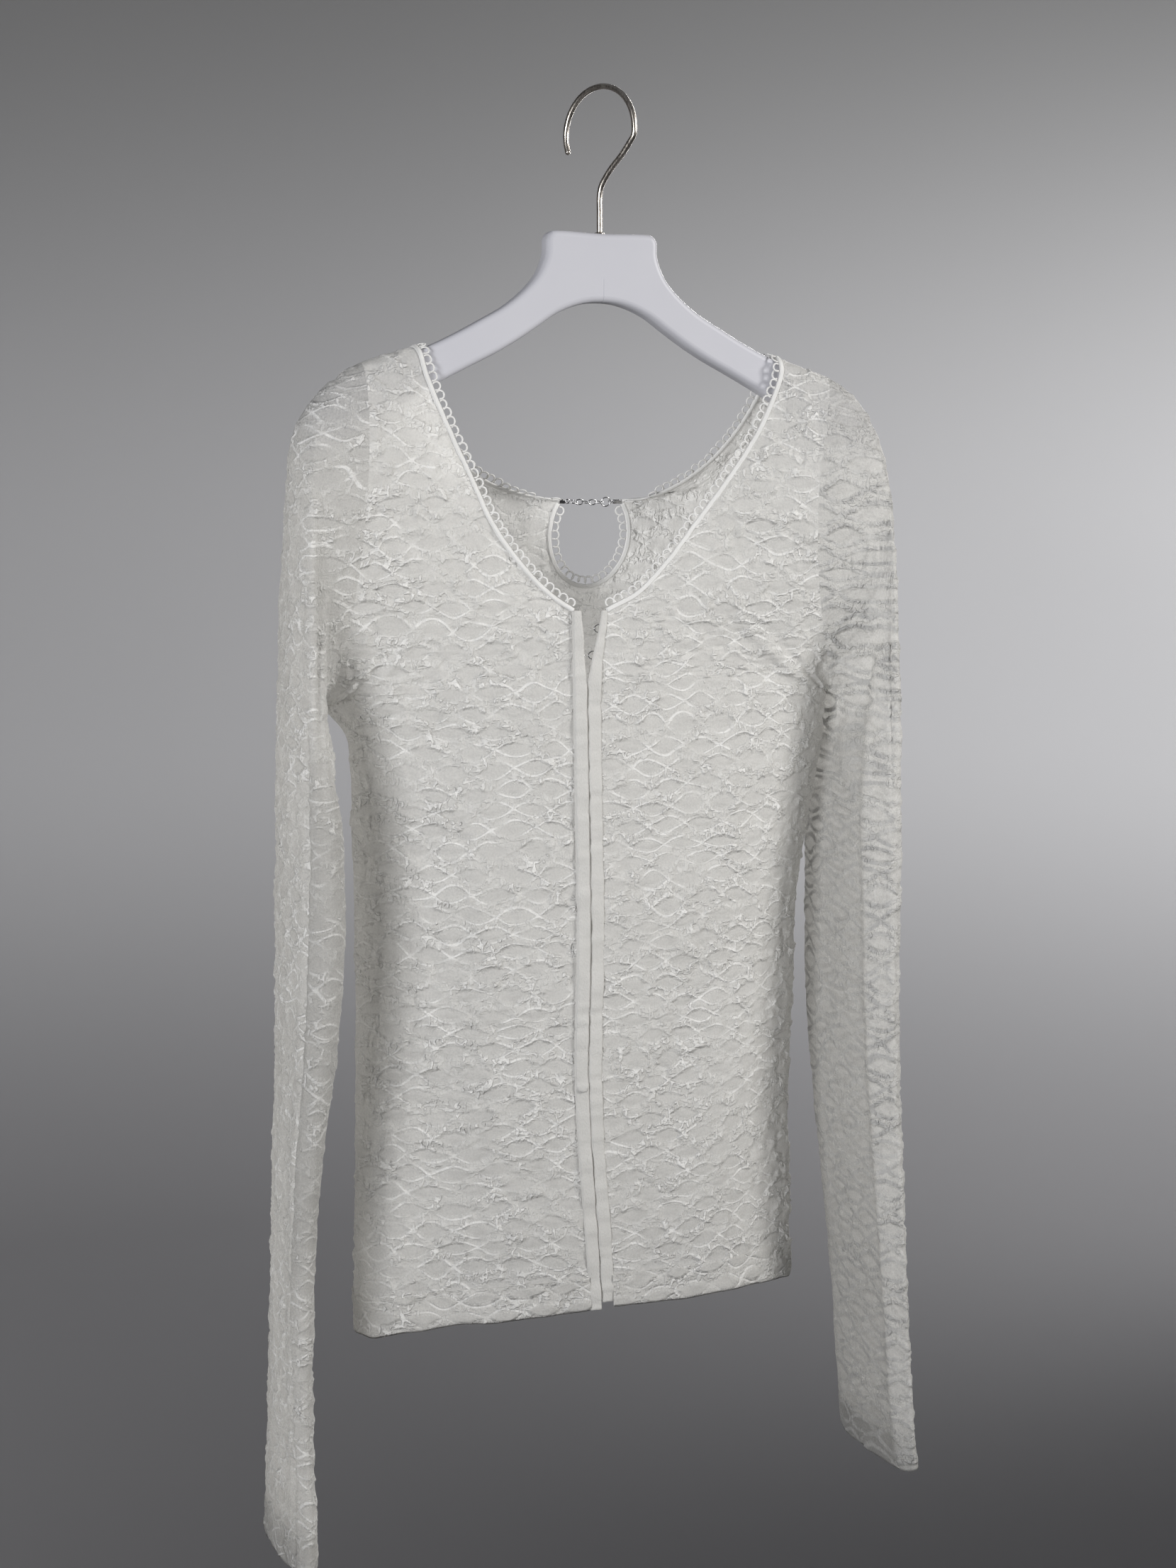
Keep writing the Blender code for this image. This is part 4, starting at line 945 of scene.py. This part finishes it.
def build_sleeve(name, side):
    # angles evenly spaced along the middle section's round
    fine = np.linspace(-math.pi, math.pi, 2001)
    seg = np.hypot(.016 * np.sin(fine), .046 * np.cos(fine)) + .010
    run = np.concatenate([[0], np.cumsum((seg[1:] + seg[:-1]) / 2)])
    cols = 150
    phis = np.interp(np.linspace(0, run[-1], cols), run, fine)
    # sections evenly spaced down the outer, front and inner lines
    kf = np.linspace(0, 16, 801)
    lines = ring_grid(side, kf, np.array([0, math.pi / 2, math.pi, -math.pi / 2]))
    d = np.linalg.norm(np.diff(lines, axis=0), axis=2)
    grow = np.concatenate([[0], np.cumsum(.6 * d.max(axis=1) + .4 * d.mean(axis=1))])
    count = int(grow[-1] / STEP) + 1
    ks = np.interp(np.linspace(0, grow[-1], count), grow, kf)
    p = ring_grid(side, ks, phis)
    p = sleeve_folds(p, ks, phis, side)
    half = int(np.argmin(np.abs(phis)))
    step = np.linalg.norm(np.diff(p, axis=0), axis=2)
    w = np.concatenate([np.zeros((1, p.shape[1])), np.cumsum(step, axis=0)])
    w = w[-1:] - w
    ds = np.linalg.norm(np.diff(p, axis=1), axis=2)
    du = np.sqrt(np.maximum(ds**2 - np.diff(w, axis=1)**2, (.4 * ds)**2))
    u = np.concatenate([np.zeros((len(p), 1)), np.cumsum(du, axis=1)], axis=1)
    u = u - u[:, half:half + 1]
    # on the cap the pattern follows the height and the way round
    line = p[:, half]
    order = np.argsort(line[:, 2])
    high = p[..., 2].ravel()
    w_cap = np.interp(high, line[order, 2], w[order, half]).reshape(w.shape)
    xo = np.interp(high, line[order, 2], line[order, 0]).reshape(w.shape)
    yo = np.interp(high, line[order, 2], line[order, 1]).reshape(w.shape)
    u_cap = np.sign(phis)[None] * np.hypot(p[..., 0] - xo, p[..., 1] - yo) * 1.06
    cap = step_up(p[..., 2], -.450, -.385)
    u = u + (u_cap - u) * cap
    w = w + (w_cap - w) * cap
    taper = np.ones(u.shape)
    run_k = np.concatenate([[0], np.cumsum(np.linalg.norm(np.diff(p[:, half], axis=0), axis=1))])
    taper *= step_up(run_k, 0, .005)[:, None]
    taper *= edge_taper(p, True, True, .0045)
    seam = 1 - edge_taper(p, True, True, .0060)
    dense = .80 * step_up(seam, .35, .75)
    dense = np.maximum(dense, (.85 * step_up(.005 - run_k, 0, .002))[:, None])
    hem_rows = int(round(HEM / STEP))
    k, f = ks[:, None], phis[None]
    if side < 0:     # painted shade: the front of this sleeve lies in shade past its crease, so its colour is darkened there and its relief calmed
        painted_shade_and_calm = .42 * step_up(f, .86, .98) * step_up(k, 7.6, 8.8) * (1 - step_up(k, 12.2, 13.6))
    else:
        # painted shade: the back and the inner side of this sleeve are darkened, and their relief calmed
        painted_shade_and_calm = .55 * (step_up(f, 2.15, 2.40) + step_up(-f, 1.0, 1.9)) * step_up(k, 5.0, 7.0)
    painted_shade_and_calm = np.clip(painted_shade_and_calm, 0, 1)
    taper = taper * (1 - .75 * painted_shade_and_calm)
    q, a, b, dens = lace_piece(name, p, u, w, taper, side < 0,
                            SLEEVE_LACE if side < 0 else SLEEVE_LACE_WIDE, .80, 131 if side < 0 else 173,
                               LACE_SLEEVE, hem_rows, False, dense)
    painted_shade_and_calm = np.concatenate([painted_shade_and_calm, painted_shade_and_calm[-hem_rows:]])
    obj = finish_cloth(name, q, a, b, dens, quads_of(*q.shape[:2], flip=side < 0),
                       LACE_SLEEVE if side < 0 else LACE_PAINTED_BACKLIGHT, None, painted_shade_and_calm)
    return obj, p


def sleeve_folds(p, ks, phis, side):
    """Long soft folds and the rolls under the armpit."""
    p = p.copy()
    k, f = ks[:, None], phis[None]
    n = unit(np.cross(np.gradient(p, axis=1), np.gradient(p, axis=0)))
    if side > 0:
        n = -n
    taper = step_up(k, .3, 2.5) * (1 - .0 * f)
    # angle, section, half widths, lean, height
    table = {
        -1: ((1.05, 7.5, .20, 2.6, .02, -.0030), (1.45, 6.0, .16, 2.2, -.03, .0034),
             (2.25, 5.5, .24, 1.8, -.05, .0046), (2.75, 6.6, .18, 1.4, .05, -.0030),
             (-1.30, 8.0, .20, 3.0, .01, .0024), (-2.10, 10.0, .25, 3.5, .02, -.0022),
             (.45, 12.0, .25, 3.0, .00, .0018), (2.2, 12.5, .25, 3.0, .00, -.0018)),
        1: ((.95, 9.0, .18, 3.4, .00, -.0026), (1.40, 6.5, .18, 2.6, .02, .0026),
            (2.30, 5.5, .24, 1.8, .05, .0040), (2.75, 6.8, .18, 1.4, -.05, -.0026),
            (-1.20, 8.0, .20, 3.0, .01, .0024), (-2.0, 10.5, .25, 3.5, -.02, -.0022),
            (.35, 12.0, .22, 3.0, .00, .0020), (2.1, 13.0, .25, 3.0, .00, -.0018))}
    if side < 0:     # sharp crease between the outer face and the front
        lift = .0030 * np.exp(-((f - .90) / .10)**2) - .0045 * step_up(f, .95, 1.25) * (1 - step_up(f, 1.9, 2.6))
        p += n * (lift * step_up(k, 7.4, 9.0) * (1 - .6 * step_up(k, 13.0, 15.0)))[..., None]
    else:
        lift = -.0030 * np.exp(-((f - 2.28) / .12)**2) + .0012 * np.exp(-((f - 2.05) / .12)**2)
        p += n * (lift * step_up(k, 7.0, 9.0) * (1 - step_up(k, 14.0, 16.0)))[..., None]
    for f0, k0, wf, wk, lean, high in table[side]:
        d = (f - f0 - lean * (k - k0)) / wf
        p += n * (high * np.exp(-d**2 - ((k - k0) / wk)**2) * taper)[..., None]
    return p


def build_band(name, side):
    """Smooth band down a front edge, with its upper layer's rounded end."""
    top_v = 2 - V_THETA / math.pi
    vs = np.concatenate([np.linspace(0, 1, 314), np.linspace(1, top_v, 36)[1:]])
    a = np.array([front_inner(side, v) for v in vs])
    ss = np.array([0, .03, .125])
    near = panel_rows("front", side, vs, ss)[:, 2]
    z = a[:, 2]
    edge_low = smooth(FRONT_EDGE, np.minimum(z, -.3505))
    edge_top = smooth(BAND_TOP, np.maximum(z, -.3505))
    low = z < -.3505
    inner = np.where(low, edge_low[:, 1] + side * .0003, edge_top[:, 1 if side < 0 else 2])
    outer = a[:, 0]
    slope = (near[:, 1] - a[:, 1]) / (near[:, 0] - a[:, 0])
    lift = .004 * np.exp(-(np.arange(len(vs)) / 6.)**2) if side > 0 else 0 * z
    width = np.abs(outer - inner)
    # the band reaches a little over the lace at its outer edge
    outer = outer - side * .0 + side * .0008
    mid = (outer + inner) / 2
    y_mid = a[:, 1] + slope * (mid - a[:, 0])
    path = np.column_stack([mid, y_mid, z + lift])
    run = np.concatenate([[0], np.cumsum(np.linalg.norm(np.diff(path, axis=0), axis=1))])
    ax = unit(np.column_stack([np.ones(len(z)), slope, 0 * z]))
    tan = unit(np.gradient(path, axis=0))
    nor = unit(np.cross(ax, tan))
    nor = nor * np.sign(-nor[:, 1:2])
    half = np.abs(outer - inner) / 2
    seed = 211 if side < 0 else 241
    pinch = noise(run / .0105, run * 0, seed) * .5 + noise(run / .0046, run * 0, seed + 1) * .5
    wrinkle = .00095 * pinch
    profiles = []
    for i in range(len(z)):
        t = .0009
        hw = half[i]
        waist = 1 + .03 * pinch[i]
        steps = np.array([(-1, -.4), (-1.0, .25), (-.94, .75), (-.80, 1.0), (-.45, 1.05), (0, 1.0),
                          (.45, 1.05), (.80, 1.0), (.94, .75), (1.0, .25), (1, -.4), (.8, -1.0),
                          (0, -1.0), (-.8, -1.0)])
        prof = steps * np.array([hw * waist, t])
        lean = noise(np.array([run[i] / .009 + 3.1]), np.array([0.]), seed + 2)[0] * .00035
        prof[:, 1] += (wrinkle[i] + lean * steps[:, 0]) * (steps[:, 1] > -.9)
        profiles.append(prof)
    parts = [sweep(name, path, ax, nor, np.array(profiles), BAND)]
    if side < 0:
        # upper layer, down to its rounded end
        keep = z > TAB_Z
        far = np.abs(z[keep] - TAB_Z)
        end = np.sqrt(np.clip(1 - (1 - np.clip(far / .0060, 0, 1))**2, 0, 1))
        prof2 = []
        for i, e in zip(np.where(keep)[0], end):
            base = np.array(profiles[i])
            up = base.copy()
            up[:, 0] = base[:, 0] * (.90 * max(e, .05)) + half[i] * .06 * (1 - e)
            up[:, 1] = np.where(base[:, 1] > 0, base[:, 1] * .9 + .0011, .0006)
            prof2.append(up)
        parts.append(sweep(name, path[keep], ax[keep], nor[keep], np.array(prof2), BAND))
    return join_parts(name, parts, BAND)


# ---------------------------------------------------------------- edging
def evenly(path, vectors, step):
    run = np.concatenate([[0], np.cumsum(np.linalg.norm(np.diff(path, axis=0), axis=1))])
    count = max(2, int(round(run[-1] / step)) + 1)
    at = np.linspace(0, run[-1], count)
    p = np.column_stack([np.interp(at, run, path[:, k]) for k in range(3)])
    v = np.column_stack([np.interp(at, run, vectors[:, k]) for k in range(3)])
    return p, unit(v), run[-1]


def soften(v, passes):
    v = np.array(v)
    for _ in range(passes):
        v[1:-1] = (v[:-2] + 2 * v[1:-1] + v[2:]) / 4
    return v


def edging(name, path, inward, seed):
    """Binding strip and its row of corded loops along an edge."""
    path, inward, length = evenly(np.array(path), soften(unit(np.array(inward)), 4), .0009)
    path = soften(path, 2)
    tan = unit(np.gradient(path, axis=0))
    nor = unit(np.cross(tan, inward))
    out = unit(np.cross(nor, tan))
    out = out * np.sign(np.sum(out * inward, axis=1, keepdims=True))
    run = np.linspace(0, length, len(path))
    wob = noise(run / .007, run * 0, seed)
    base = path + out * (.0002 + .00015 * wob[:, None])
    prof = np.array([(-1, -.2), (-1, .35), (-.82, .85), (-.4, 1.0), (.1, .75), (.5, 1.0), (.86, .8), (1, .2),
                     (1, -.35), (.8, -.85), (0, -1.), (-.8, -.85)]) * np.array([BINDING / 2, .00078])
    parts = [sweep(name, base, out, nor, prof, EDGE)]
    count = max(1, int(round((length - .002) / LOOP_PITCH)))
    turn = np.radians(np.linspace(-128, 128, 19))
    for i in range(count):
        at = .001 + (length - .002) * (i + .5) / count
        j = at / length * (len(path) - 1)
        k = int(min(len(path) - 2, j))
        f = j - k
        c = path[k] * (1 - f) + path[k + 1] * f
        t = unit(tan[k] * (1 - f) + tan[k + 1] * f)
        o = unit(out[k] * (1 - f) + out[k + 1] * f)
        n = unit(nor[k] * (1 - f) + nor[k + 1] * f)
        r1, r2, r3 = lattice(np.array([i, i, i]), np.array([1, 2, 3]), seed)
        tilt = .16 * r1
        o2 = o * math.cos(tilt) + n * math.sin(tilt)
        rad = .00252 * (1 + .05 * r2)
        tall = .00242 * (1 + .07 * r3)
        middle = c + o2 * (LOOP_REACH - .0005 - tall)
        side_shift = .00030 * r2
        loop = middle + t * (rad * np.sin(turn) + side_shift)[:, None] + o2 * (tall * np.cos(turn))[:, None]
        loop = loop + n * (.00022 * np.sin(turn * .5 + r3))[:, None]
        ta = unit(np.gradient(loop, axis=0))
        side_v = unit(np.cross(ta, n))
        parts.append(sweep(name, loop, side_v, np.repeat(n[None], len(loop), 0),
                           round_profile(.00056, .00044, 7), EDGE))
    return join_parts(name, parts, EDGE)


def neck_paths():
    out = {}
    for side in (-1, 1):
        vf = 2 - np.linspace(V_THETA, 0, 90) / math.pi
        vb = 2 - np.linspace(0, KEY_HEAD, 70) / math.pi
        f = panel_rows("front", side, vf, np.array([0, .03]))
        b = panel_rows("back", side, vb, np.array([0, .03]))
        path = np.concatenate([f[:-1, 0], b[:, 0]])
        inward = np.concatenate([(f[:-1, 0] - f[:-1, 1]), (b[:, 0] - b[:, 1])])
        out[side] = (path, unit(inward))
    return out


def key_path():
    th = np.linspace(KEY_HEAD + .02, KEY_FOOT, 60)
    r = np.array([back_inner(-1, 2 - t / math.pi) for t in th])
    l = np.array([back_inner(1, 2 - t / math.pi) for t in th[::-1]])
    path = np.concatenate([r, l[1:]])
    middle = np.array([KEY_X, path[:, 1].mean(), KEY_Z - .004])
    return path, unit(middle - path)


# ---------------------------------------------------------------- small parts
def oval(centre, half_x, half_z, tilt, count):
    a = np.arange(count) * 2 * math.pi / count
    p = np.column_stack([half_x * np.cos(a), 0 * a, half_z * np.sin(a)])
    m = np.array(Matrix.Rotation(tilt, 3, "X"))
    return p @ m.T + np.array(centre)


def small(name, node, parts, mat, slot, flat=None):
    obj = join_parts(name, parts, mat, flat)
    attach(obj, "root")
    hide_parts(node)
    return obj


def build_chain():
    w = CHAIN_WIRE
    kinds = ["ear"] + ["ring"] + ["link"] * 4 + ["ring"] + ["ear"]
    reach = {"ear": EAR_IN, "ring": RING_IN, "link": LINK_IN}
    xs = [0.0]
    for a, b in zip(kinds, kinds[1:]):
        xs.append(xs[-1] + reach[a] + reach[b] - CHAIN_GAP)
    mid = (xs[0] + xs[-1]) / 2
    xs = [x - mid + CHAIN_X for x in xs]
    names = ("chain_clamp_right", "chain_ring_right", "chain_link_1", "chain_link_2",
             "chain_link_3", "chain_link_4", "chain_ring_left", "chain_clamp_left")
    half = (xs[-1] - xs[0]) / 2
    for i, (x, kind, name) in enumerate(zip(xs, kinds, names)):
        sag = .0004 * (1 - ((x - CHAIN_X) / half)**2)
        z = CHAIN_Z - sag
        tilt = math.radians(20 if i % 2 == 0 else 110)
        r = reach[kind] + w / 2
        wide = LINK_IN_WIDTH + w / 2 if kind == "link" else r
        pts = oval((x, CHAIN_Y, z), r, wide, tilt, 28)
        parts = [wire(pts, w / 2, 9, True, (0, 1, .3))]
        if kind == "ear":
            out = -1 if i == 0 else 1
            length = .0044 if i == 0 else .0062
            bm = bmesh.new()
            bmesh.ops.create_cube(bm, size=1)
            bmesh.ops.scale(bm, vec=(length, .0018, .0027), verts=bm.verts)
            bmesh.ops.bevel(bm, geom=bm.edges[:], offset=.00045, segments=3, affect="EDGES")
            # two crimps pressed across the plate
            for v in bm.verts:
                press = sum(math.exp(-((v.co.x - c * length) / .0005)**2) for c in (-.22, .22))
                v.co.y *= 1 - .25 * press
            bmesh.ops.rotate(bm, cent=(0, 0, 0), matrix=Matrix.Rotation(math.radians(20), 3, "X"), verts=bm.verts)
            bmesh.ops.translate(bm, vec=(x + out * (EAR_IN + w * .6 + length / 2), CHAIN_Y, z), verts=bm.verts)
            bm.verts.index_update()
            parts.append(([tuple(v.co) for v in bm.verts], [tuple(v.index for v in f.verts) for f in bm.faces]))
            bm.free()
        small("fine_" + name, name, parts, CHAIN, "chain", 50)


def build_closures():
    for name, side, z in (("hook_upper", -1, -.3195), ("hook_lower", -1, -.3345),
                          ("eye_upper", 1, -.3185), ("eye_lower", 1, -.3345)):
        edge = smooth(BAND_TOP, z)[0, 1 if side < 0 else 2]
        y = smooth(DEPTH, z)[0, 0] + .0016
        if side < 0:
            pts = np.array([(edge - .0030, y, z), (edge - .0005, y, z), (edge + .0008, y + .0002, z),
                            (edge + .0014, y + .0008, z), (edge + .0010, y + .0016, z),
                            (edge - .0006, y + .0018, z)])
            pts = along(pts, np.linspace(0, 1, 26))
        else:
            a = np.radians(np.linspace(-80, 80, 23))
            pts = np.column_stack([edge + .0012 - .0034 * np.cos(a), y + 0 * a, z + .0024 * np.sin(a)])
            pts = np.vstack([pts[:1] + (.0018, 0, 0), pts, pts[-1:] + (.0018, 0, 0)])
        small("fine_" + name, name, [wire(pts, .00035, 9)], CHAIN, "closure_wire", 50)


def build_label():
    rows, cols = 34, 18
    grid = []
    for r in range(rows):
        z = LABEL_Z - LABEL_SIZE[1] * r / (rows - 1)
        seam = smooth(BODY, z)[0]
        start = np.array([seam[0] + .0026, seam[3], z])
        line = []
        for c in range(cols):
            t = c / (cols - 1)
            lift = .0012 * math.sin(math.pi * t) + .0004 * math.sin(5 * t + r * .18)
            line.append(start + np.array([LABEL_WAY[0], LABEL_WAY[1], 0]) * LABEL_SIZE[0] * t
                        + np.array([0, lift, 0]))
        grid.append(line)
    p = np.array(grid)
    n = normals(p, False)
    front, back = p + n * .00025, p - n * .00025
    verts = np.concatenate([front.reshape(-1, 3), back.reshape(-1, 3)])
    q = quads_of(rows, cols)
    m = rows * cols
    faces = [tuple(f) for f in q] + [tuple(i + m for i in f[::-1]) for f in q]
    rim = ([r * cols for r in range(rows)] + [(rows - 1) * cols + c for c in range(1, cols)]
           + [r * cols + cols - 1 for r in range(rows - 2, -1, -1)] + [c for c in range(cols - 2, 0, -1)])
    for i, j in zip(rim, rim[1:] + rim[:1]):
        faces.append((j, i, i + m, j + m))
    obj = join_parts("tab_label", [(verts, faces)], TAB, 60)
    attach(obj, "root")
    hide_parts("care_label")


# ---------------------------------------------------------------- hanger
def fine_outline():
    half = list(HANGER_TOP) + list(HANGER_TIP) + list(HANGER_UNDER)
    ring = ([(0, HANGER_TOP[0][1])] + [(x, z) for x, z in half] + [(0, HANGER_ARCH_Z)]
            + [(-x, z) for x, z in reversed(half)])
    pts = np.array(ring)
    n = len(pts)
    out = []
    for i in range(n):
        p0, p1, p2, p3 = (pts[(i + k) % n] for k in (-1, 0, 1, 2))
        d01, d12, d23 = (max(np.linalg.norm(b - a), 1e-6) for a, b in ((p0, p1), (p1, p2), (p2, p3)))
        m1 = ((p1 - p0) / d01 * d12 + (p2 - p1) / d12 * d01) / (d01 + d12)
        m2 = ((p2 - p1) / d12 * d23 + (p3 - p2) / d23 * d12) / (d12 + d23)
        # keep the block's top corners tight
        for m, p in ((m1, p1), (m2, p2)):
            if abs(abs(p[0]) - .0325) < 1e-6:
                m *= .25
        steps = max(2, int(math.ceil(d12 / .0032)))
        for s in range(steps):
            t = s / steps
            out.append((2 * t**3 - 3 * t**2 + 1) * p1 + (t**3 - 2 * t**2 + t) * d12 * m1
                       + (3 * t**2 - 2 * t**3) * p2 + (t**3 - t**2) * d12 * m2)
    return np.array(out)


def build_hanger():
    pts = fine_outline()
    nxt, prv = np.roll(pts, -1, axis=0), np.roll(pts, 1, axis=0)
    tangent = unit(unit(nxt - pts) + unit(pts - prv))
    normal = np.column_stack([tangent[:, 1], -tangent[:, 0]])
    wide = np.clip(smooth(((0, 0), (.12, 0), (.17, 1), (.19, 1)), np.abs(pts[:, 0]))[:, 0], 0, 1)
    half_y = HANGER_HALF + (HANGER_TIP_HALF - HANGER_HALF) * wide
    rings = []
    for a in np.linspace(90, 0, 7):
        r = math.radians(a)
        rings.append((HANGER_ROUND * (1 - math.cos(r)), HANGER_ROUND * math.sin(r)))
    levels = [(i, -(half_y - HANGER_ROUND + o)) for i, o in rings]
    levels += [(i, half_y - HANGER_ROUND + o) for i, o in reversed(rings)]
    bm = bmesh.new()
    loops = []
    # faces are filled inwards from slightly inset copies of the outline
    for inset, y in levels:
        q = pts + normal * inset
        loops.append([bm.verts.new((q[i, 0], y[i], q[i, 1])) for i in range(len(pts))])
    n = len(pts)
    for a, b in zip(loops, loops[1:]):
        for i in range(n):
            bm.faces.new((a[i], a[(i + 1) % n], b[(i + 1) % n], b[i]))
    face_line = pts + normal * HANGER_ROUND
    fill = tessellate_polygon([[Vector((x, z, 0)) for x, z in face_line]])
    flat = []
    for loop in (loops[0], loops[-1]):
        for tri in fill:
            flat.append(bm.faces.new([loop[i] for i in tri]))
    bmesh.ops.recalc_face_normals(bm, faces=bm.faces)
    bm.faces.index_update()
    flat = [f.index for f in flat]
    mesh = bpy.data.meshes.new("painted_hanger")
    bm.to_mesh(mesh)
    bm.free()
    obj = link("painted_hanger", mesh, PAINT, 30)
    for i in flat:
        mesh.polygons[i].use_smooth = False
    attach(obj, "root")
    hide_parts("hanger")


def build_hook():
    line = list(HOOK_STEM)
    centre = -HOOK_RADIUS + HOOK_WIRE / 2
    for i in range(17):
        a = math.radians(-8 + 208 * i / 16)
        line.append((HOOK_RADIUS * math.cos(a), centre + HOOK_RADIUS * math.sin(a)))
    pts = along(line, np.linspace(0, 1, 150))
    e = (math.cos(HOOK_TURN), -math.sin(HOOK_TURN))
    points = np.column_stack([pts[:, 0] * e[0], pts[:, 0] * e[1], pts[:, 1]])
    r = HOOK_WIRE / 2
    tube = [wire(points, r, 18, False, (e[1], -e[0], 0))]
    # rounded free end
    tip, way = points[-1], unit(points[-1] - points[-2])
    a = np.linspace(0, 1, 7)[1:]
    fa, fb = tube_frames(points, False, (e[1], -e[0], 0))
    caps = np.array([tip + way * r * math.sin(t * math.pi / 2) * .9 for t in a])
    prof = np.array([round_profile(r * max(.05, math.cos(t * math.pi / 2)), r * max(.05, math.cos(t * math.pi / 2)), 18) for t in a])
    path = np.vstack([tip, caps])
    prof = np.concatenate([round_profile(r, r, 18)[None], prof])
    k = len(path)
    tube.append(sweep("", path, np.repeat(fa[-1:], k, 0), np.repeat(fb[-1:], k, 0), prof, None))
    # shallow collar where the stem enters the hanger
    z = np.array([-.0846, -.0838, -.0832, -.0829])
    rad = np.array([.0030, .0031, .0027, .0018])
    col = np.column_stack([0 * z, 0 * z, z])
    tube.append(sweep("", col, np.repeat([[1., 0, 0]], 4, 0), np.repeat([[0, 1., 0]], 4, 0),
                      np.array([round_profile(q, q, 20) for q in rad]), None))
    small("nickel_hook", "hanger_hook", tube, HOOK, "hook_wire", 50)


# ---------------------------------------------------------------- the top
def declare(obj, node):
    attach(obj, "root")
    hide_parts(node)


def build_top():
    for side, label in ((-1, "right"), (1, "left")):
        obj, _ = build_front("lace_front_" + label, side)
        declare(obj, "front_" + label)
        obj, _ = build_sleeve("lace_sleeve_" + label, side)
        declare(obj, "sleeve_" + label)
        obj = build_band("knit_placket_" + label, side)
        declare(obj, "placket_" + label)
    obj, _ = build_back()
    declare(obj, "back")
    for side, (path, inward) in neck_paths().items():
        label = "right" if side < 0 else "left"
        obj = edging("loop_edging_" + label, path, inward, 307 if side < 0 else 331)
        declare(obj, "neck_trim_" + label)
    path, inward = key_path()
    obj = edging("loop_edging_keyhole", path, inward, 353)
    declare(obj, "keyhole_trim")
    build_chain()
    build_closures()
    build_label()
    build_hanger()
    build_hook()


# ---------------------------------------------------------------- studio
def build_stage():
    """Pale floor that rises as a bowl all round, its colour painted darker towards the bottom and the top as shade.
    """
    n = Net("pale_floor_painted_shade")
    place = n.place()
    sep = n.node("ShaderNodeSeparateXYZ")
    n.feed(sep.inputs[0], place)
    cloud = n.noise(place, .9, 3., .5)
    col = n.blend(cloud, rgb(.500, .498, .502), rgb(.540, .538, .545))
    # painted shade: darker towards the bottom
    low = n.ramp(sep.outputs[2], -1.74, -.80, 1., 0.)
    col = n.blend(low, col, rgb(.310, .306, .312))
    # painted shade: darker towards the top
    high = n.ramp(sep.outputs[2], -.35, 1.30, 0., 1.)
    col = n.blend(high, col, rgb(.330, .328, .326))
    body = n.node("ShaderNodeBsdfPrincipled")
    n.feed(body.inputs["Base Color"], col)
    body.inputs["Roughness"].default_value = .9
    body.inputs["Specular IOR Level"].default_value = .1
    mat = n.surface(body.outputs[0])
    floor, radius, bend, top = -1.70, 4.6, 1.3, 3.4
    prof = [(0.001, floor)] + [(r, floor) for r in np.linspace(.6, radius - bend, 7)]
    for a in np.radians(np.linspace(6, 90, 15)):
        prof.append((radius - bend + bend * math.sin(a), floor + bend * (1 - math.cos(a))))
    prof += [(radius, z) for z in np.linspace(floor + bend + .4, top, 7)]
    count = 96
    t = np.arange(count) * 2 * math.pi / count
    verts = np.array([(r * math.cos(x), r * math.sin(x), z) for r, z in prof for x in t])
    faces = []
    for i in range(len(prof) - 1):
        for k in range(count):
            l = (k + 1) % count
            faces.append((i * count + k, i * count + l, (i + 1) * count + l, (i + 1) * count + k))
    obj = join_parts("floor_bowl", [(verts, faces)], mat)


def aim(obj, target):
    way = Vector(target) - obj.location
    obj.rotation_euler = way.to_track_quat("-Z", "Y").to_euler()


def area_light(name, place, target, size, power, colour=(1, 1, 1), size_y=None, spread=None):
    data = bpy.data.lights.new(name, "AREA")
    data.energy = power
    data.color = colour
    data.shape = "RECTANGLE"
    data.size = size
    data.size_y = size_y or size
    if spread:
        data.spread = math.radians(spread)
    obj = bpy.data.objects.new(name, data)
    bpy.context.scene.collection.objects.link(obj)
    obj.location = place
    obj.visible_camera = False
    aim(obj, target)
    return obj


def build_lights():
    world = bpy.data.worlds.new("studio")
    world.use_nodes = True
    back = world.node_tree.nodes["Background"]
    back.inputs["Color"].default_value = (.93, .95, 1., 1.)
    back.inputs["Strength"].default_value = .14
    bpy.context.scene.world = world
    area_light("key", (2.1, -1.45, .50), (0, 0, -.28), .7, 8.3, (1., .985, .96), .9, 62)
    area_light("fill", (-1.9, -1.7, -.25), (0, 0, -.34), 1.0, 5.0, (.98, .985, 1.), None, 48)
    area_light("rear", (1.5, 1.9, .35), (.1, 0, -.28), 1.2, 8.0, (1., .99, .97), None, 66)
    area_light("wall", (3.7, 1.3, .1), (1.8, 4.2, -.34), 1.2, 44, (.99, .99, 1.), None, 110)
    area_light("wall_low", (-2.6, .9, -.5), (.4, 4.2, -1.6), 1.0, 11, (.98, .98, 1.), None, 90)


def build_camera():
    data = bpy.data.cameras.new("view")
    data.sensor_fit = "VERTICAL"
    data.sensor_height = 36.0
    data.sensor_width = 27.0
    data.lens = 52.74
    data.clip_start = .05
    data.clip_end = 40
    obj = bpy.data.objects.new("view", data)
    bpy.context.scene.collection.objects.link(obj)
    obj.location = (-.5241, -1.2971, -.255)
    yaw, pitch = math.radians(21.72), math.radians(-6.49)
    way = Vector((math.sin(yaw) * math.cos(pitch), math.cos(yaw) * math.cos(pitch), math.sin(pitch)))
    obj.rotation_euler = way.to_track_quat("-Z", "Y").to_euler()
    bpy.context.scene.camera = obj


build_top()
build_stage()
build_lights()
build_camera()
bpy.context.scene.view_settings.view_transform = "Standard"

bpy.context.view_layer.update()
